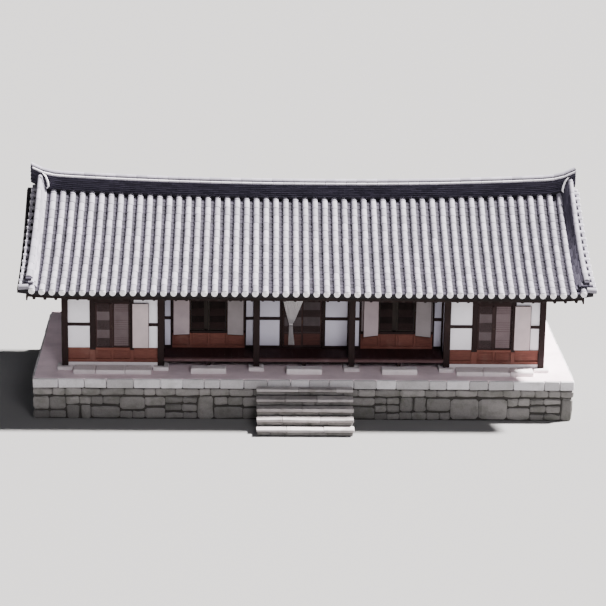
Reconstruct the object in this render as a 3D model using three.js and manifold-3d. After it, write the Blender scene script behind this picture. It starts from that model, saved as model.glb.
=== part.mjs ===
// A five-bay Korean tiled house: a timber frame on a stone podium, with plaster walls,
// paper windows, a porch set back into its three middle bays and a gabled tile roof.
// Millimetres, +Z up, +X along the front, +Y to the back. The front columns stand at y = 0
// in the house's own frame, and the group is moved so that the plan is centred on the origin.
import * as THREE from "three";
import { mergeVertices } from "three/addons/utils/BufferGeometryUtils.js";
import Module from "manifold-3d";

const wasm = await Module();
wasm.setup();

// Plan
const BAY = 2700;
const BAYS = 5;
const DEPTH = 4800;
const PORCH_DEPTH = 900;
const COLUMN = 180;
const END_COLUMN_X = (BAY * BAYS) / 2;
const REST_GAP = 0.3;

// Podium and steps
const PODIUM_HEIGHT = 1200;
const PODIUM_FRONT = 950;
const PODIUM_BACK = 900;
const PODIUM_SIDE = 850;
const CORNERSTONE = 440;
const CORNERSTONE_HEIGHT = 100;
const STEP_TREAD = 280;
const STEP_RISER = 200;
const STEP_COUNT = 5;
const STEPS_REACH = PODIUM_FRONT + STEP_COUNT * STEP_TREAD;

// Heights above the podium
const FLOOR = 360;
const LINTEL_LOW = 2030;
const COLUMN_TOP = 2300;
const CROSSBEAM_TOP = 2580;
const UPPER_BEAM_LOW = 2880;
const UPPER_BEAM_TOP = 3060;
const RIDGE_PURLIN_LOW = 3840;

// Rafters: the height of their underside over the front columns, and their two slopes
const RAFTER_SEAT = 2760;
const LOWER_SLOPE = 0.4;
const UPPER_SLOPE = 0.66;
const RAFTER_THICK = 120;
const RAFTER_WIDE = 100;
const RAFTER_PITCH = 300;
const RAFTER_END = 1150;
const MIDDLE_PURLIN_Y = DEPTH / 4;
const RIDGE_Y = DEPTH / 2;

// Roof
const ROOF_HALF = 7950;
const EAVE = 1250;
const EAVE_TILE_LOW = 2470;
const EAVE_TILE_TOP = 2600;
const EAVE_TILE_SLOPE = 0.36;
const RIDGE_SEAT_HALF = 150;
const RIDGE_SEAT_RISE = 1810;
const RIDGE_END_RISE = 230;
const GABLE_LIFT = 90;
const LIFT_EASE = 150;
const BOARD_EASE = 2;
const BARGEBOARD_X = 7680;
const BARGEBOARD_THICK = 40;
const BARGEBOARD_DEEP = 300;
const BARGEBOARD_EAVE_DEEP = 150;
const MAIN_RIDGE_HEIGHT = 590;
const MAIN_RIDGE_TIP = 100;
const MAIN_RIDGE_HALF = 7800;
const VERGE_IN = 7400;
const VERGE_OUT = 7760;
const VERGE_IN_BATTER = 180;
const VERGE_OUT_BATTER = 20;
const VERGE_EAVE_HEIGHT = 300;
const VERGE_RIDGE_HEIGHT = 430;

// Walls: distances outwards and inwards from the centre line of their columns
const FRAME_OUT = 55;
const FRAME_IN = 35;
const WALL_OUT = 30;
const WALL_IN = 70;
const LINTEL_HALF = 60;
const INNER_SKIN = 30;
const GABLE_WALL_IN = 110;

// Windows and doors
const WINDOW_TOP = 1940;
const HEAD_RAIL = LINTEL_LOW - WINDOW_TOP;
const LEAF_THICK = 32;
const LEAF_RIM = 38;
const LEAF_PANEL = 10;
const FOLDED_LEAF = { wide: 480, low: 760, hinge: 497, turns: { 2: 8, 4: 22 } };
const DOOR_TRAVEL_CLEAR = 6;

const FINISHES = {
  stone: { color: 0x8b8784, roughness: 0.95, metalness: 0 },
  timber: { color: 0x5a3527, roughness: 0.75, metalness: 0 },
  plaster: { color: 0xe4e6ea, roughness: 0.9, metalness: 0 },
  tile: { color: 0x6c7077, roughness: 0.7, metalness: 0 },
  lattice: { color: 0x7b6a5c, roughness: 0.8, metalness: 0 },
  paper: { color: 0xddd3bd, roughness: 0.9, metalness: 0 },
  cloth: { color: 0xeceae4, roughness: 0.95, metalness: 0 },
};

const house = new THREE.Group();

// Turns a closed three.js geometry into a solid that can be joined and cut.
function solidOf(geometry) {
  const bare = geometry.clone();
  bare.deleteAttribute("normal");
  bare.deleteAttribute("uv");
  const merged = mergeVertices(bare, 1e-4);
  return new wasm.Manifold(
    new wasm.Mesh({
      numProp: 3,
      vertProperties: merged.attributes.position.array,
      triVerts: new Uint32Array(merged.index.array),
    }),
  );
}

// Adds a named mesh of a solid to the house.
function addNode(name, solid, finish) {
  const { vertProperties, triVerts } = solid.getMesh();
  const geometry = new THREE.BufferGeometry();
  geometry.setAttribute("position", new THREE.BufferAttribute(vertProperties, 3));
  geometry.setIndex(new THREE.BufferAttribute(triVerts, 1));
  geometry.computeVertexNormals();
  const mesh = new THREE.Mesh(geometry, new THREE.MeshStandardMaterial(FINISHES[finish]));
  mesh.name = name;
  house.add(mesh);
}

// A box between two values on each axis, with heights measured above the podium.
function box([x0, x1], [y0, y1], [z0, z1]) {
  const geometry = new THREE.BoxGeometry(x1 - x0, y1 - y0, z1 - z0);
  geometry.translate((x0 + x1) / 2, (y0 + y1) / 2, (z0 + z1) / 2 + PODIUM_HEIGHT);
  return solidOf(geometry);
}

function join(solids) {
  return solids.reduce((all, next) => all.add(next));
}

function cut(solid, tools) {
  return tools.reduce((left, tool) => left.subtract(tool), solid);
}

// A solid through a row of closed outlines with the same number of points, [x, y, z] each.
// The outlines run anticlockwise when seen from the last one, and [y, z] or [x, z] closes the ends.
function loft(outlines, flatten) {
  const count = outlines[0].length;
  const positions = outlines.flat(2);
  const contour = outlines[0].map((p) => new THREE.Vector2(...flatten(p)));
  const turned = THREE.ShapeUtils.isClockWise(contour);
  const cap = THREE.ShapeUtils.triangulateShape(contour, []);
  const faces = [];
  for (let k = 0; k + 1 < outlines.length; k++) {
    for (let i = 0; i < count; i++) {
      const a = k * count + i;
      const b = k * count + ((i + 1) % count);
      faces.push(a, b, b + count, a, b + count, a + count);
    }
  }
  const last = (outlines.length - 1) * count;
  for (const triangle of cap) {
    const [a, b, c] = turned ? triangle.toReversed() : triangle;
    faces.push(c, b, a, last + a, last + b, last + c);
  }
  const geometry = new THREE.BufferGeometry();
  geometry.setAttribute("position", new THREE.Float32BufferAttribute(positions, 3));
  geometry.setIndex(faces);
  return solidOf(geometry);
}

// A profile of [y, z] points, heights above the podium, carried along X.
function alongX(profile, stations) {
  const outline = (x) => profile.map(([y, z]) => [x, y, z + PODIUM_HEIGHT]);
  return loft(stations.map(outline), ([, y, z]) => [y, z]);
}

function mirroredInDepth(solid) {
  return solid.mirror([0, 1, 0]).translate([0, DEPTH, 0]);
}

function columnX(index) {
  return -END_COLUMN_X + index * BAY;
}

// Roof surfaces
function gableLift(x, y) {
  const past = Math.max(0, Math.abs(x) - END_COLUMN_X) / (ROOF_HALF - END_COLUMN_X);
  const out = Math.max(0, -y) / EAVE;
  return GABLE_LIFT * past ** 2 * out ** 2;
}

function ridgeRise(x) {
  return RIDGE_END_RISE * (Math.abs(x) / ROOF_HALF) ** 2.2;
}

function rafterLow(y) {
  if (y <= MIDDLE_PURLIN_Y) return RAFTER_SEAT + LOWER_SLOPE * y;
  const knee = RAFTER_SEAT + LOWER_SLOPE * MIDDLE_PURLIN_Y;
  return knee + UPPER_SLOPE * (y - MIDDLE_PURLIN_Y);
}

function tileTop(x, y) {
  const run = RIDGE_Y - RIDGE_SEAT_HALF + EAVE;
  const s = Math.min(y + EAVE, run);
  const curve = (RIDGE_SEAT_RISE - EAVE_TILE_SLOPE * run) / run ** 2;
  const profile = EAVE_TILE_TOP + EAVE_TILE_SLOPE * s + curve * s ** 2;
  return profile + ridgeRise(x) * (s / run) ** 2 + gableLift(x, y);
}

const TILE_STATIONS_Y = [-EAVE, -900, -500, -50, 400, 850, 1300, 1750, RIDGE_Y - RIDGE_SEAT_HALF];
const HALF_STATIONS_X = [0, 900, 1800, 2700, 3600, 4500, 5400, 6100, END_COLUMN_X, 7100, VERGE_IN];
const END_STATIONS_X = [BARGEBOARD_X, VERGE_OUT, ROOF_HALF];
const POSITIVE_X = [...HALF_STATIONS_X, ...END_STATIONS_X];

function mirroredStations(values) {
  return [...values.filter((v) => v > 0).reverse().map((v) => -v), ...values];
}

// The stone podium with the flat stones under the columns, the ledges before the end bays
// and the stepping stones before the porch.
function podium() {
  const parts = [
    box(
      [-END_COLUMN_X - PODIUM_SIDE, END_COLUMN_X + PODIUM_SIDE],
      [-PODIUM_FRONT, DEPTH + PODIUM_BACK],
      [-PODIUM_HEIGHT, 0],
    ),
  ];
  const footing = (x, y) => {
    const half = CORNERSTONE / 2;
    parts.push(box([x - half, x + half], [y - half, y + half], [-50, CORNERSTONE_HEIGHT]));
  };
  for (let i = 0; i <= BAYS; i++) {
    footing(columnX(i), 0);
    footing(columnX(i), DEPTH);
    if (i > 0 && i < BAYS) footing(columnX(i), PORCH_DEPTH);
    else footing(columnX(i), DEPTH / 2);
  }
  const ledgeIn = 250;
  for (const bay of [0, BAYS - 1]) {
    parts.push(box([columnX(bay) + ledgeIn, columnX(bay + 1) - ledgeIn], [-560, -60], [-50, 120]));
  }
  for (const bay of [1, 2, 3]) {
    const middle = columnX(bay) + BAY / 2;
    parts.push(box([middle - 500, middle + 500], [-480, -130], [-50, 150]));
  }
  return join(parts);
}

function steps() {
  const outline = [[-STEPS_REACH, -PODIUM_HEIGHT], [-PODIUM_FRONT, -PODIUM_HEIGHT]];
  for (let i = 1; i <= STEP_COUNT; i++) {
    const top = -i * STEP_RISER;
    outline.push([-PODIUM_FRONT - (i - 1) * STEP_TREAD, top], [-PODIUM_FRONT - i * STEP_TREAD, top]);
  }
  return alongX(outline, [-BAY / 2, BAY / 2]);
}

// One transverse frame: its columns, the crossbeam, two struts, the upper beam and the king post.
function timberBent(index) {
  const x = columnX(index);
  const half = COLUMN / 2;
  const gable = index === 0 || index === BAYS;
  const column = (y) =>
    box([x - half, x + half], [y - half, y + half], [CORNERSTONE_HEIGHT, COLUMN_TOP]);
  const beam = (width, ys, zs) => box([x - width / 2, x + width / 2], ys, zs);
  const parts = [column(0), column(DEPTH)];
  parts.push(column(gable ? DEPTH / 2 : PORCH_DEPTH));
  parts.push(beam(160, [-170, DEPTH + 170], [COLUMN_TOP, CROSSBEAM_TOP]));
  for (const y of [MIDDLE_PURLIN_Y, DEPTH - MIDDLE_PURLIN_Y]) {
    parts.push(beam(160, [y - 80, y + 80], [CROSSBEAM_TOP, UPPER_BEAM_LOW]));
  }
  const upperIn = MIDDLE_PURLIN_Y - 120;
  parts.push(beam(150, [upperIn, DEPTH - upperIn], [UPPER_BEAM_LOW, UPPER_BEAM_TOP]));
  parts.push(beam(150, [RIDGE_Y - 90, RIDGE_Y + 90], [UPPER_BEAM_TOP, RIDGE_PURLIN_LOW]));
  if (gable) {
    for (const [low, high] of [[200, 290], [560, 620], [1260, 1350], [LINTEL_LOW, COLUMN_TOP]]) {
      parts.push(beam(110, [0, DEPTH], [low, high]));
    }
  }
  return join(parts);
}

// The purlin over the front columns, with the lintels and the rail between the crossbeams.
function eaveBeam() {
  const side = 90;
  const seat = (y) => rafterLow(y) - REST_GAP;
  const purlin = alongX(
    [[-side, CROSSBEAM_TOP], [side, CROSSBEAM_TOP], [side, seat(side)], [-side, seat(-side)]],
    [-BARGEBOARD_X, BARGEBOARD_X],
  );
  const parts = [purlin];
  for (let bay = 0; bay < BAYS; bay++) {
    const clear = [columnX(bay) + side, columnX(bay + 1) - side];
    parts.push(box(clear, [-LINTEL_HALF, LINTEL_HALF], [LINTEL_LOW, COLUMN_TOP]));
    parts.push(box(clear, [-45, 45], [COLUMN_TOP - 10, CROSSBEAM_TOP + 10]));
  }
  return join(parts);
}

function ridgePurlin() {
  const half = 80;
  const shoulder = rafterLow(RIDGE_Y - half) - REST_GAP;
  const outline = [
    [RIDGE_Y - half, RIDGE_PURLIN_LOW],
    [RIDGE_Y + half, RIDGE_PURLIN_LOW],
    [RIDGE_Y + half, shoulder],
    [RIDGE_Y, rafterLow(RIDGE_Y) - REST_GAP],
    [RIDGE_Y - half, shoulder],
  ];
  return alongX(outline, [-BARGEBOARD_X, BARGEBOARD_X]);
}

// The front slope's rafters, joined by the eave board over their ends and the purlin under their knees.
function rafters() {
  const parts = [];
  const half = RAFTER_WIDE / 2;
  const last = Math.floor((BARGEBOARD_X - RAFTER_WIDE) / RAFTER_PITCH);
  for (let i = -last; i <= last; i++) {
    const x = i * RAFTER_PITCH;
    const lifted = Math.abs(x) + half > END_COLUMN_X;
    const ys = lifted ? [-RAFTER_END, -1025, -575, 0] : [-RAFTER_END];
    ys.push(MIDDLE_PURLIN_Y, RIDGE_Y);
    const nearX = Math.max(0, Math.abs(x) - half - LIFT_EASE);
    const low = ys.map((y) => [y, rafterLow(y) + gableLift(nearX, y)]);
    const top = low.map(([y, z]) => [y, z + RAFTER_THICK - REST_GAP]).reverse();
    parts.push(alongX([...low, ...top], [x - half, x + half]));
  }
  const inner = -1080;
  const board = mirroredStations(POSITIVE_X.filter((x) => x <= BARGEBOARD_X)).map((x) => {
    const lift = (y) => gableLift(x, y);
    return [
      [x, -RAFTER_END, PODIUM_HEIGHT + EAVE_TILE_LOW - 75 + lift(-RAFTER_END)],
      [x, inner, PODIUM_HEIGHT + EAVE_TILE_LOW - 45 + lift(inner)],
      [x, inner, PODIUM_HEIGHT + EAVE_TILE_LOW - BOARD_EASE + lift(inner)],
      [x, -RAFTER_END, PODIUM_HEIGHT + EAVE_TILE_LOW - BOARD_EASE + lift(-RAFTER_END)],
    ];
  });
  parts.push(loft(board, ([, y, z]) => [y, z]));
  const knee = 80;
  const purlin = [
    [MIDDLE_PURLIN_Y - knee, UPPER_BEAM_TOP],
    [MIDDLE_PURLIN_Y + knee, UPPER_BEAM_TOP],
    [MIDDLE_PURLIN_Y + knee, rafterLow(MIDDLE_PURLIN_Y + knee) + 5],
    [MIDDLE_PURLIN_Y, rafterLow(MIDDLE_PURLIN_Y) + 5],
    [MIDDLE_PURLIN_Y - knee, rafterLow(MIDDLE_PURLIN_Y - knee) + 5],
  ];
  parts.push(alongX(purlin, [-BARGEBOARD_X, BARGEBOARD_X]));
  return join(parts);
}

// The front slope from the rafters' tops to the tiled surface.
function tileBed() {
  const under = [RIDGE_Y, MIDDLE_PURLIN_Y, 0, -575, -1025];
  const lip = [-1080, -RAFTER_END, -EAVE];
  const outlines = POSITIVE_X.map((x) => {
    const point = (y, z) => [x, y, PODIUM_HEIGHT + z];
    const top = [...TILE_STATIONS_Y, RIDGE_Y].map((y) => point(y, tileTop(x, y)));
    const low = under.map((y) => point(y, rafterLow(y) + RAFTER_THICK + gableLift(x, y)));
    const front = lip.map((y) => point(y, EAVE_TILE_LOW + gableLift(x, y)));
    return [...top, ...low, ...front].reverse();
  });
  const half = loft(outlines, ([, y, z]) => [y, z]);
  return half.add(half.mirror([1, 0, 0]));
}

function mainRidge() {
  const stations = mirroredStations([...HALF_STATIONS_X, BARGEBOARD_X, MAIN_RIDGE_HALF]);
  const outlines = stations.map((x) => {
    const tip = Math.abs(x) === MAIN_RIDGE_HALF ? MAIN_RIDGE_TIP : 0;
    const seat = tileTop(x, RIDGE_Y) + REST_GAP + PODIUM_HEIGHT;
    const top = seat + MAIN_RIDGE_HEIGHT + tip;
    const at = (out, z) => [x, RIDGE_Y + out, z];
    return [at(-150, seat), at(150, seat), at(125, top - 70), at(85, top), at(-85, top), at(-125, top - 70)];
  });
  return loft(outlines, ([, y, z]) => [y, z]);
}

// The right verge ridge of the front slope, from the eave up to the main ridge.
function vergeRidge() {
  const outlines = TILE_STATIONS_Y.map((y) => {
    const at = (x, up) => [x, y, PODIUM_HEIGHT + up + REST_GAP * 2];
    const inner = tileTop(VERGE_IN, y);
    const outer = tileTop(VERGE_OUT, y);
    const share = (y + EAVE) / (RIDGE_Y - RIDGE_SEAT_HALF + EAVE);
    const height = VERGE_EAVE_HEIGHT + (VERGE_RIDGE_HEIGHT - VERGE_EAVE_HEIGHT) * share;
    const high = Math.max(inner, outer) + height;
    return [
      at(VERGE_IN, inner),
      at(VERGE_IN + VERGE_IN_BATTER, high),
      at(VERGE_OUT - VERGE_OUT_BATTER, high),
      at(VERGE_OUT, outer),
      at(BARGEBOARD_X, tileTop(BARGEBOARD_X, y)),
    ];
  });
  return loft(outlines, ([x, , z]) => [x, z]);
}

// The right gable's pair of bargeboards, meeting under the ridge and narrower at the eaves.
function bargeboards() {
  const ys = [-RAFTER_END, -1025, -575, 0, MIDDLE_PURLIN_Y, RIDGE_Y];
  const top = (y) => rafterLow(y) + RAFTER_THICK + gableLift(BARGEBOARD_X, y) - REST_GAP;
  const line = ys.map((y) => [y, top(y)]);
  const whole = [...line, ...ys.slice(0, -1).reverse().map((y) => [DEPTH - y, top(y)])];
  const deep = (y) => {
    const inward = Math.min(1, (Math.min(y, DEPTH - y) + RAFTER_END) / RAFTER_END);
    return BARGEBOARD_EAVE_DEEP + (BARGEBOARD_DEEP - BARGEBOARD_EAVE_DEEP) * inward;
  };
  const low = whole.map(([y, z]) => [y, z - deep(y)]);
  return alongX([...low, ...whole.toReversed()], [BARGEBOARD_X, BARGEBOARD_X + BARGEBOARD_THICK]);
}

// Front walls. Each bay is a list of its members, with x measured from its left column.
const END_BAY = {
  line: 0,
  posts: [[700, 860], [1830, 1940]],
  opening: [860, 1830],
  sill: [560, 620],
  base: [200, 290],
  sideRail: [1260, 1350],
  wallHigh: LINTEL_LOW,
};
const WINDOW_BAY = {
  line: PORCH_DEPTH,
  posts: [[250, 300], [2370, 2410]],
  opening: [300, 2370],
  sill: [800, 870],
  base: [FLOOR, 435],
  sideRail: [1200, 1290],
  wallHigh: 3100,
};
const DOOR_BAY = {
  line: PORCH_DEPTH,
  posts: [[670, 760], [1880, 1980]],
  opening: [760, 1880],
  sill: [FLOOR, 400],
  base: [FLOOR, 435],
  sideRail: [1200, 1290],
  wallHigh: 3100,
};
const BAY_KINDS = [END_BAY, WINDOW_BAY, DOOR_BAY, WINDOW_BAY, END_BAY];

// The timbers of one front bay: rails, posts, the boards under the window and the lintel.
function bayFrame(kind, x0) {
  const clear = [COLUMN / 2, BAY - COLUMN / 2];
  const depth = [kind.line - FRAME_OUT, kind.line + FRAME_IN];
  const bar = (xs, zs, ys = depth) => box([x0 + xs[0], x0 + xs[1]], ys, zs);
  const [open0, open1] = kind.opening;
  const [left, right] = kind.posts;
  const door = kind === DOOR_BAY;
  const parts = [];
  for (const post of kind.posts) parts.push(bar(post, [kind.base[0], LINTEL_LOW]));
  parts.push(bar([clear[0], left[0]], kind.base), bar([right[1], clear[1]], kind.base));
  parts.push(bar([clear[0], left[0]], kind.sideRail), bar([right[1], clear[1]], kind.sideRail));
  parts.push(bar([open0, open1], kind.sill));
  parts.push(bar([open0, open1], [WINDOW_TOP, WINDOW_TOP + HEAD_RAIL]));
  if (!door) {
    const board = [kind.line - 15, kind.line + 10];
    parts.push(bar([left[0], right[1]], kind.base));
    parts.push(bar([open0, open1], [kind.base[1], kind.sill[0]], board));
    const stiles = kind === END_BAY ? 2 : 4;
    for (let i = 1; i < stiles; i++) {
      const x = open0 + ((open1 - open0) * i) / stiles;
      parts.push(bar([x - 25, x + 25], [kind.base[1], kind.sill[0]]));
    }
  }
  if (kind === END_BAY) {
    parts.push(bar([clear[0], left[0]], kind.sill), bar([right[1], clear[1]], kind.sill));
    const board = [kind.line - 15, kind.line + 10];
    parts.push(bar([clear[0], left[0]], [kind.base[1], kind.sill[0]], board));
    parts.push(bar([right[1], clear[1]], [kind.base[1], kind.sill[0]], board));
  } else {
    parts.push(bar(clear, [LINTEL_LOW, COLUMN_TOP], [kind.line - LINTEL_HALF, kind.line + LINTEL_HALF]));
  }
  return join(parts);
}

// One front bay's plaster, with the window or door cut through and a skin behind the timbers.
function bayWall(kind, x0, frame) {
  const clear = [x0 + COLUMN / 2, x0 + BAY - COLUMN / 2];
  const wall = box(clear, [kind.line - WALL_OUT, kind.line + WALL_IN], [0, kind.wallHigh]);
  const opening = kind.opening.map((x) => x0 + x);
  const low = kind === DOOR_BAY ? FLOOR : kind.sill[1];
  const hole = box(opening, [kind.line - 200, kind.line + 200], [low, WINDOW_TOP]);
  const boarded = kind === END_BAY ? clear : opening;
  const boards = box(boarded, [kind.line - 200, kind.line + 10], [kind.base[1] - 10, kind.sill[0] + 10]);
  const tools = [hole, frame, stoneSpace(x0, kind.line), stoneSpace(x0 + BAY, kind.line)];
  if (kind !== DOOR_BAY) tools.push(boards);
  return cut(wall, tools);
}

// The room that the stone under a column takes out of a wall or a floor.
function stoneSpace(x, y) {
  const reach = CORNERSTONE / 2;
  return box([x - reach, x + reach], [y - reach, y + reach], [-1, CORNERSTONE_HEIGHT]);
}

// The room that a column takes out of a wall or a floor, up to the given height.
function columnSpace(x, y, high) {
  const half = COLUMN / 2;
  return box([x - half, x + half], [y - half, y + half], [-1, high]);
}

// A leaf with a rim and a thin panel, its recess on the side that faces the given way.
function leaf(xs, ys, zs, recessSide) {
  const whole = box(xs, ys, zs);
  const hollow =
    recessSide === "front" ? [ys[0] - 1, ys[1] - LEAF_PANEL] : [ys[0] + LEAF_PANEL, ys[1] + 1];
  const inner = box(
    [xs[0] + LEAF_RIM, xs[1] - LEAF_RIM],
    hollow,
    [zs[0] + LEAF_RIM, zs[1] - LEAF_RIM],
  );
  return whole.subtract(inner);
}

// End bays: the left leaf is shut, the right one is folded back against the wall,
// and an inner leaf closes the right half.
function endWindow(number, x0) {
  const zs = [END_BAY.sill[1] + REST_GAP, WINDOW_TOP - 5];
  const middle = x0 + (END_BAY.opening[0] + END_BAY.opening[1]) / 2;
  const shut = leaf([x0 + 865, middle], [-50, -50 + LEAF_THICK], zs, "front");
  const face = -FRAME_OUT - REST_GAP;
  const open = leaf([x0 + 1895, x0 + 2365], [face - LEAF_THICK, face], zs, "back");
  const inner = leaf([middle + 1, x0 + 1825], [0, 24], zs, "front");
  addNode(`window_${number}_shut_leaf`, shut, "lattice");
  addNode(`window_${number}_open_leaf`, open, "paper");
  addNode(`window_${number}_inner_leaf`, inner, "lattice");
}

// A porch window's left pair: the outer leaf is shut, and the next one is folded back over it.
// It hangs before the frame on two hinges, turned forward by its own angle, and covers the sill.
function leftLeaves(number, x0) {
  const zs = [WINDOW_BAY.sill[1] + REST_GAP, WINDOW_TOP - 5];
  const [a, b] = WINDOW_BAY.opening;
  const front = PORCH_DEPTH - FRAME_OUT + 5;
  const shut = leaf([x0 + a + 5, x0 + a + (b - a) / 4], [front, front + LEAF_THICK], zs, "back");
  const pivot = [x0 + a + FOLDED_LEAF.hinge, PORCH_DEPTH - FRAME_OUT - REST_GAP, 0];
  const folded = leaf([-FOLDED_LEAF.wide, 0], [-LEAF_THICK, 0], [FOLDED_LEAF.low, zs[1]], "back")
    .rotate([0, 0, FOLDED_LEAF.turns[number]])
    .translate(pivot);
  const hinge = (z) => box([pivot[0] - 14, pivot[0] + 14], [pivot[1] - 24, front + 20], [z, z + 60]);
  return join([shut, folded, hinge(1000), hinge(1720)]);
}

// Porch windows: both pairs of outer leaves, and the two inner leaves between them.
function porchWindow(number, x0) {
  const zs = [WINDOW_BAY.sill[1] + REST_GAP, WINDOW_TOP - 5];
  const [a, b] = WINDOW_BAY.opening;
  const wide = (b - a) / 4;
  const middle = x0 + (a + b) / 2;
  const left = leftLeaves(number, x0);
  const right = left.mirror([1, 0, 0]).translate([2 * middle, 0, 0]);
  const innerYs = [PORCH_DEPTH + 5, PORCH_DEPTH + 29];
  const inner = leaf([x0 + a + wide + 5, middle + 5], innerYs, zs, "front").add(
    leaf([middle - 5, x0 + b - wide - 5], innerYs, zs, "front"),
  );
  addNode(`window_${number}_left_leaves`, left, "lattice");
  addNode(`window_${number}_right_leaves`, right, "lattice");
  addNode(`window_${number}_inner_leaves`, inner, "lattice");
}

// The middle bay's two sliding leaves, each on a track of its own, with a runner under it.
function doorLeaf(xs, track) {
  const ys = [track, track + 28];
  const panel = leaf(xs, ys, [405, WINDOW_TOP - 6], "front");
  return panel.add(box(xs, [track + 9, track + 19], [400 + REST_GAP, 410]));
}

// The tied curtain: its left and right edges in the bay and its thickness at each height.
function doorCurtain(x0) {
  const back = PORCH_DEPTH - FRAME_OUT - REST_GAP;
  const levels = [
    [1960, 735, 1395, 40],
    [1600, 800, 1265, 50],
    [1200, 915, 1100, 50],
    [1090, 940, 1040, 50],
    [800, 935, 1065, 50],
    [470, 920, 1100, 50],
  ];
  const outlines = levels.map(([z, left, right, thick]) => [
    [x0 + left, back - thick, z + PODIUM_HEIGHT],
    [x0 + left, back, z + PODIUM_HEIGHT],
    [x0 + right, back, z + PODIUM_HEIGHT],
    [x0 + right, back - thick, z + PODIUM_HEIGHT],
  ]);
  return loft(outlines, ([x, y]) => [x, y]);
}

// The porch floor: boards on a front girt, a back girt and joists, standing on short legs.
function porchFloor() {
  const xs = [columnX(1) + 35, columnX(4) - 35];
  const parts = [
    box(xs, [-90, PORCH_DEPTH - WALL_OUT], [FLOOR - 35, FLOOR]),
    box(xs, [-90, 10], [210, FLOOR - 30]),
    box(xs, [PORCH_DEPTH - WALL_OUT - 90, PORCH_DEPTH - WALL_OUT], [210, FLOOR - 30]),
  ];
  for (let i = 0; i <= 6; i++) {
    const x = columnX(1) + (i * BAY) / 2;
    const inside = Math.min(Math.max(x, xs[0] + 40), xs[1] - 40);
    parts.push(box([inside - 40, inside + 40], [-50, PORCH_DEPTH - WALL_OUT - 20], [230, FLOOR - 30]));
  }
  for (const bay of [1, 2, 3]) {
    const x = columnX(bay) + BAY / 2;
    parts.push(box([x - 55, x + 55], [-90, 10], [0, 220]));
  }
  const tools = [];
  for (let i = 1; i <= 4; i++) {
    for (const y of [0, PORCH_DEPTH]) tools.push(columnSpace(columnX(i), y, FLOOR + 1));
  }
  return cut(join(parts), tools);
}

// The raised floor inside: filled masonry up to the level of the porch.
function roomFloor() {
  const inner = END_COLUMN_X - GABLE_WALL_IN;
  const back = DEPTH - COLUMN / 2 - INNER_SKIN;
  const whole = box([-inner, inner], [WALL_IN, back], [0, FLOOR]);
  const porch = box(
    [columnX(1) - 35, columnX(4) + 35],
    [WALL_IN - 1, PORCH_DEPTH + WALL_IN],
    [-1, FLOOR + 1],
  );
  const tools = [porch];
  for (let i = 0; i <= BAYS; i++) {
    const ends = i === 0 || i === BAYS;
    for (const y of [0, DEPTH, ends ? DEPTH / 2 : PORCH_DEPTH]) {
      tools.push(columnSpace(columnX(i), y, FLOOR + 1), stoneSpace(columnX(i), y));
    }
  }
  return cut(whole, tools);
}

// The wall between an end room and the porch, between the front and the inner column.
function porchEndWall(index) {
  const x = columnX(index);
  const half = COLUMN / 2;
  const wall = box([x - 35, x + 35], [half, PORCH_DEPTH - half], [0, COLUMN_TOP]);
  return cut(wall, [stoneSpace(x, 0), stoneSpace(x, PORCH_DEPTH)]);
}

// The right gable wall: plaster between the timbers of the end bent, up to the rafters.
function gableWall(bent) {
  const x = columnX(BAYS);
  const edge = COLUMN / 2;
  const under = (y) => rafterLow(y) - 1;
  const outline = [
    [edge, 0],
    [DEPTH - edge, 0],
    [DEPTH - edge, under(edge)],
    [DEPTH - MIDDLE_PURLIN_Y, under(MIDDLE_PURLIN_Y)],
    [RIDGE_Y, under(RIDGE_Y)],
    [MIDDLE_PURLIN_Y, under(MIDDLE_PURLIN_Y)],
    [edge, under(edge)],
  ];
  const slab = alongX(outline, [x - GABLE_WALL_IN, x + WALL_OUT]);
  const around = (y, half, low) =>
    box([x - 200, x + 200], [y - half - 1, y + half + 1], [low - 1, low + 600]);
  const tools = [
    bent,
    around(MIDDLE_PURLIN_Y, 80, UPPER_BEAM_TOP),
    around(DEPTH - MIDDLE_PURLIN_Y, 80, UPPER_BEAM_TOP),
    around(RIDGE_Y, 80, RIDGE_PURLIN_LOW),
  ];
  for (const y of [0, DEPTH / 2, DEPTH]) tools.push(stoneSpace(x, y));
  return cut(slab, tools);
}

// The back wall's timbers: the purlin and lintels, with rails, posts and a shut window in each bay.
function backFrame() {
  const depth = [-FRAME_OUT, FRAME_IN];
  const parts = [eaveBeam()];
  for (let bay = 0; bay < BAYS; bay++) {
    const x0 = columnX(bay);
    const bar = (xs, zs, ys = depth) => box([x0 + xs[0], x0 + xs[1]], ys, zs);
    parts.push(bar([860 - 110, 860], [200, LINTEL_LOW + 5]));
    parts.push(bar([1840, 1840 + 110], [200, LINTEL_LOW + 5]));
    for (const rail of [[200, 290], [820, 900]]) {
      parts.push(bar([90, BAY - 90], rail));
    }
    parts.push(bar([860, 1840], [WINDOW_TOP, WINDOW_TOP + HEAD_RAIL]));
    parts.push(bar([860, 1840], [890, WINDOW_TOP + 5], [-20, 10]));
  }
  return join(parts);
}

function backWall(frame) {
  const tools = [frame];
  const xs = [columnX(0) + COLUMN / 2, columnX(BAYS) - COLUMN / 2];
  const wall = box(xs, [-WALL_OUT, COLUMN / 2 + INNER_SKIN], [0, LINTEL_LOW]);
  for (let i = 0; i <= BAYS; i++) {
    tools.push(columnSpace(columnX(i), 0, LINTEL_LOW + 1), stoneSpace(columnX(i), 0));
  }
  for (let bay = 0; bay < BAYS; bay++) {
    const x0 = columnX(bay);
    tools.push(box([x0 + 860, x0 + 1840], [-100, 200], [900, WINDOW_TOP]));
  }
  return cut(wall, tools);
}

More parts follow.
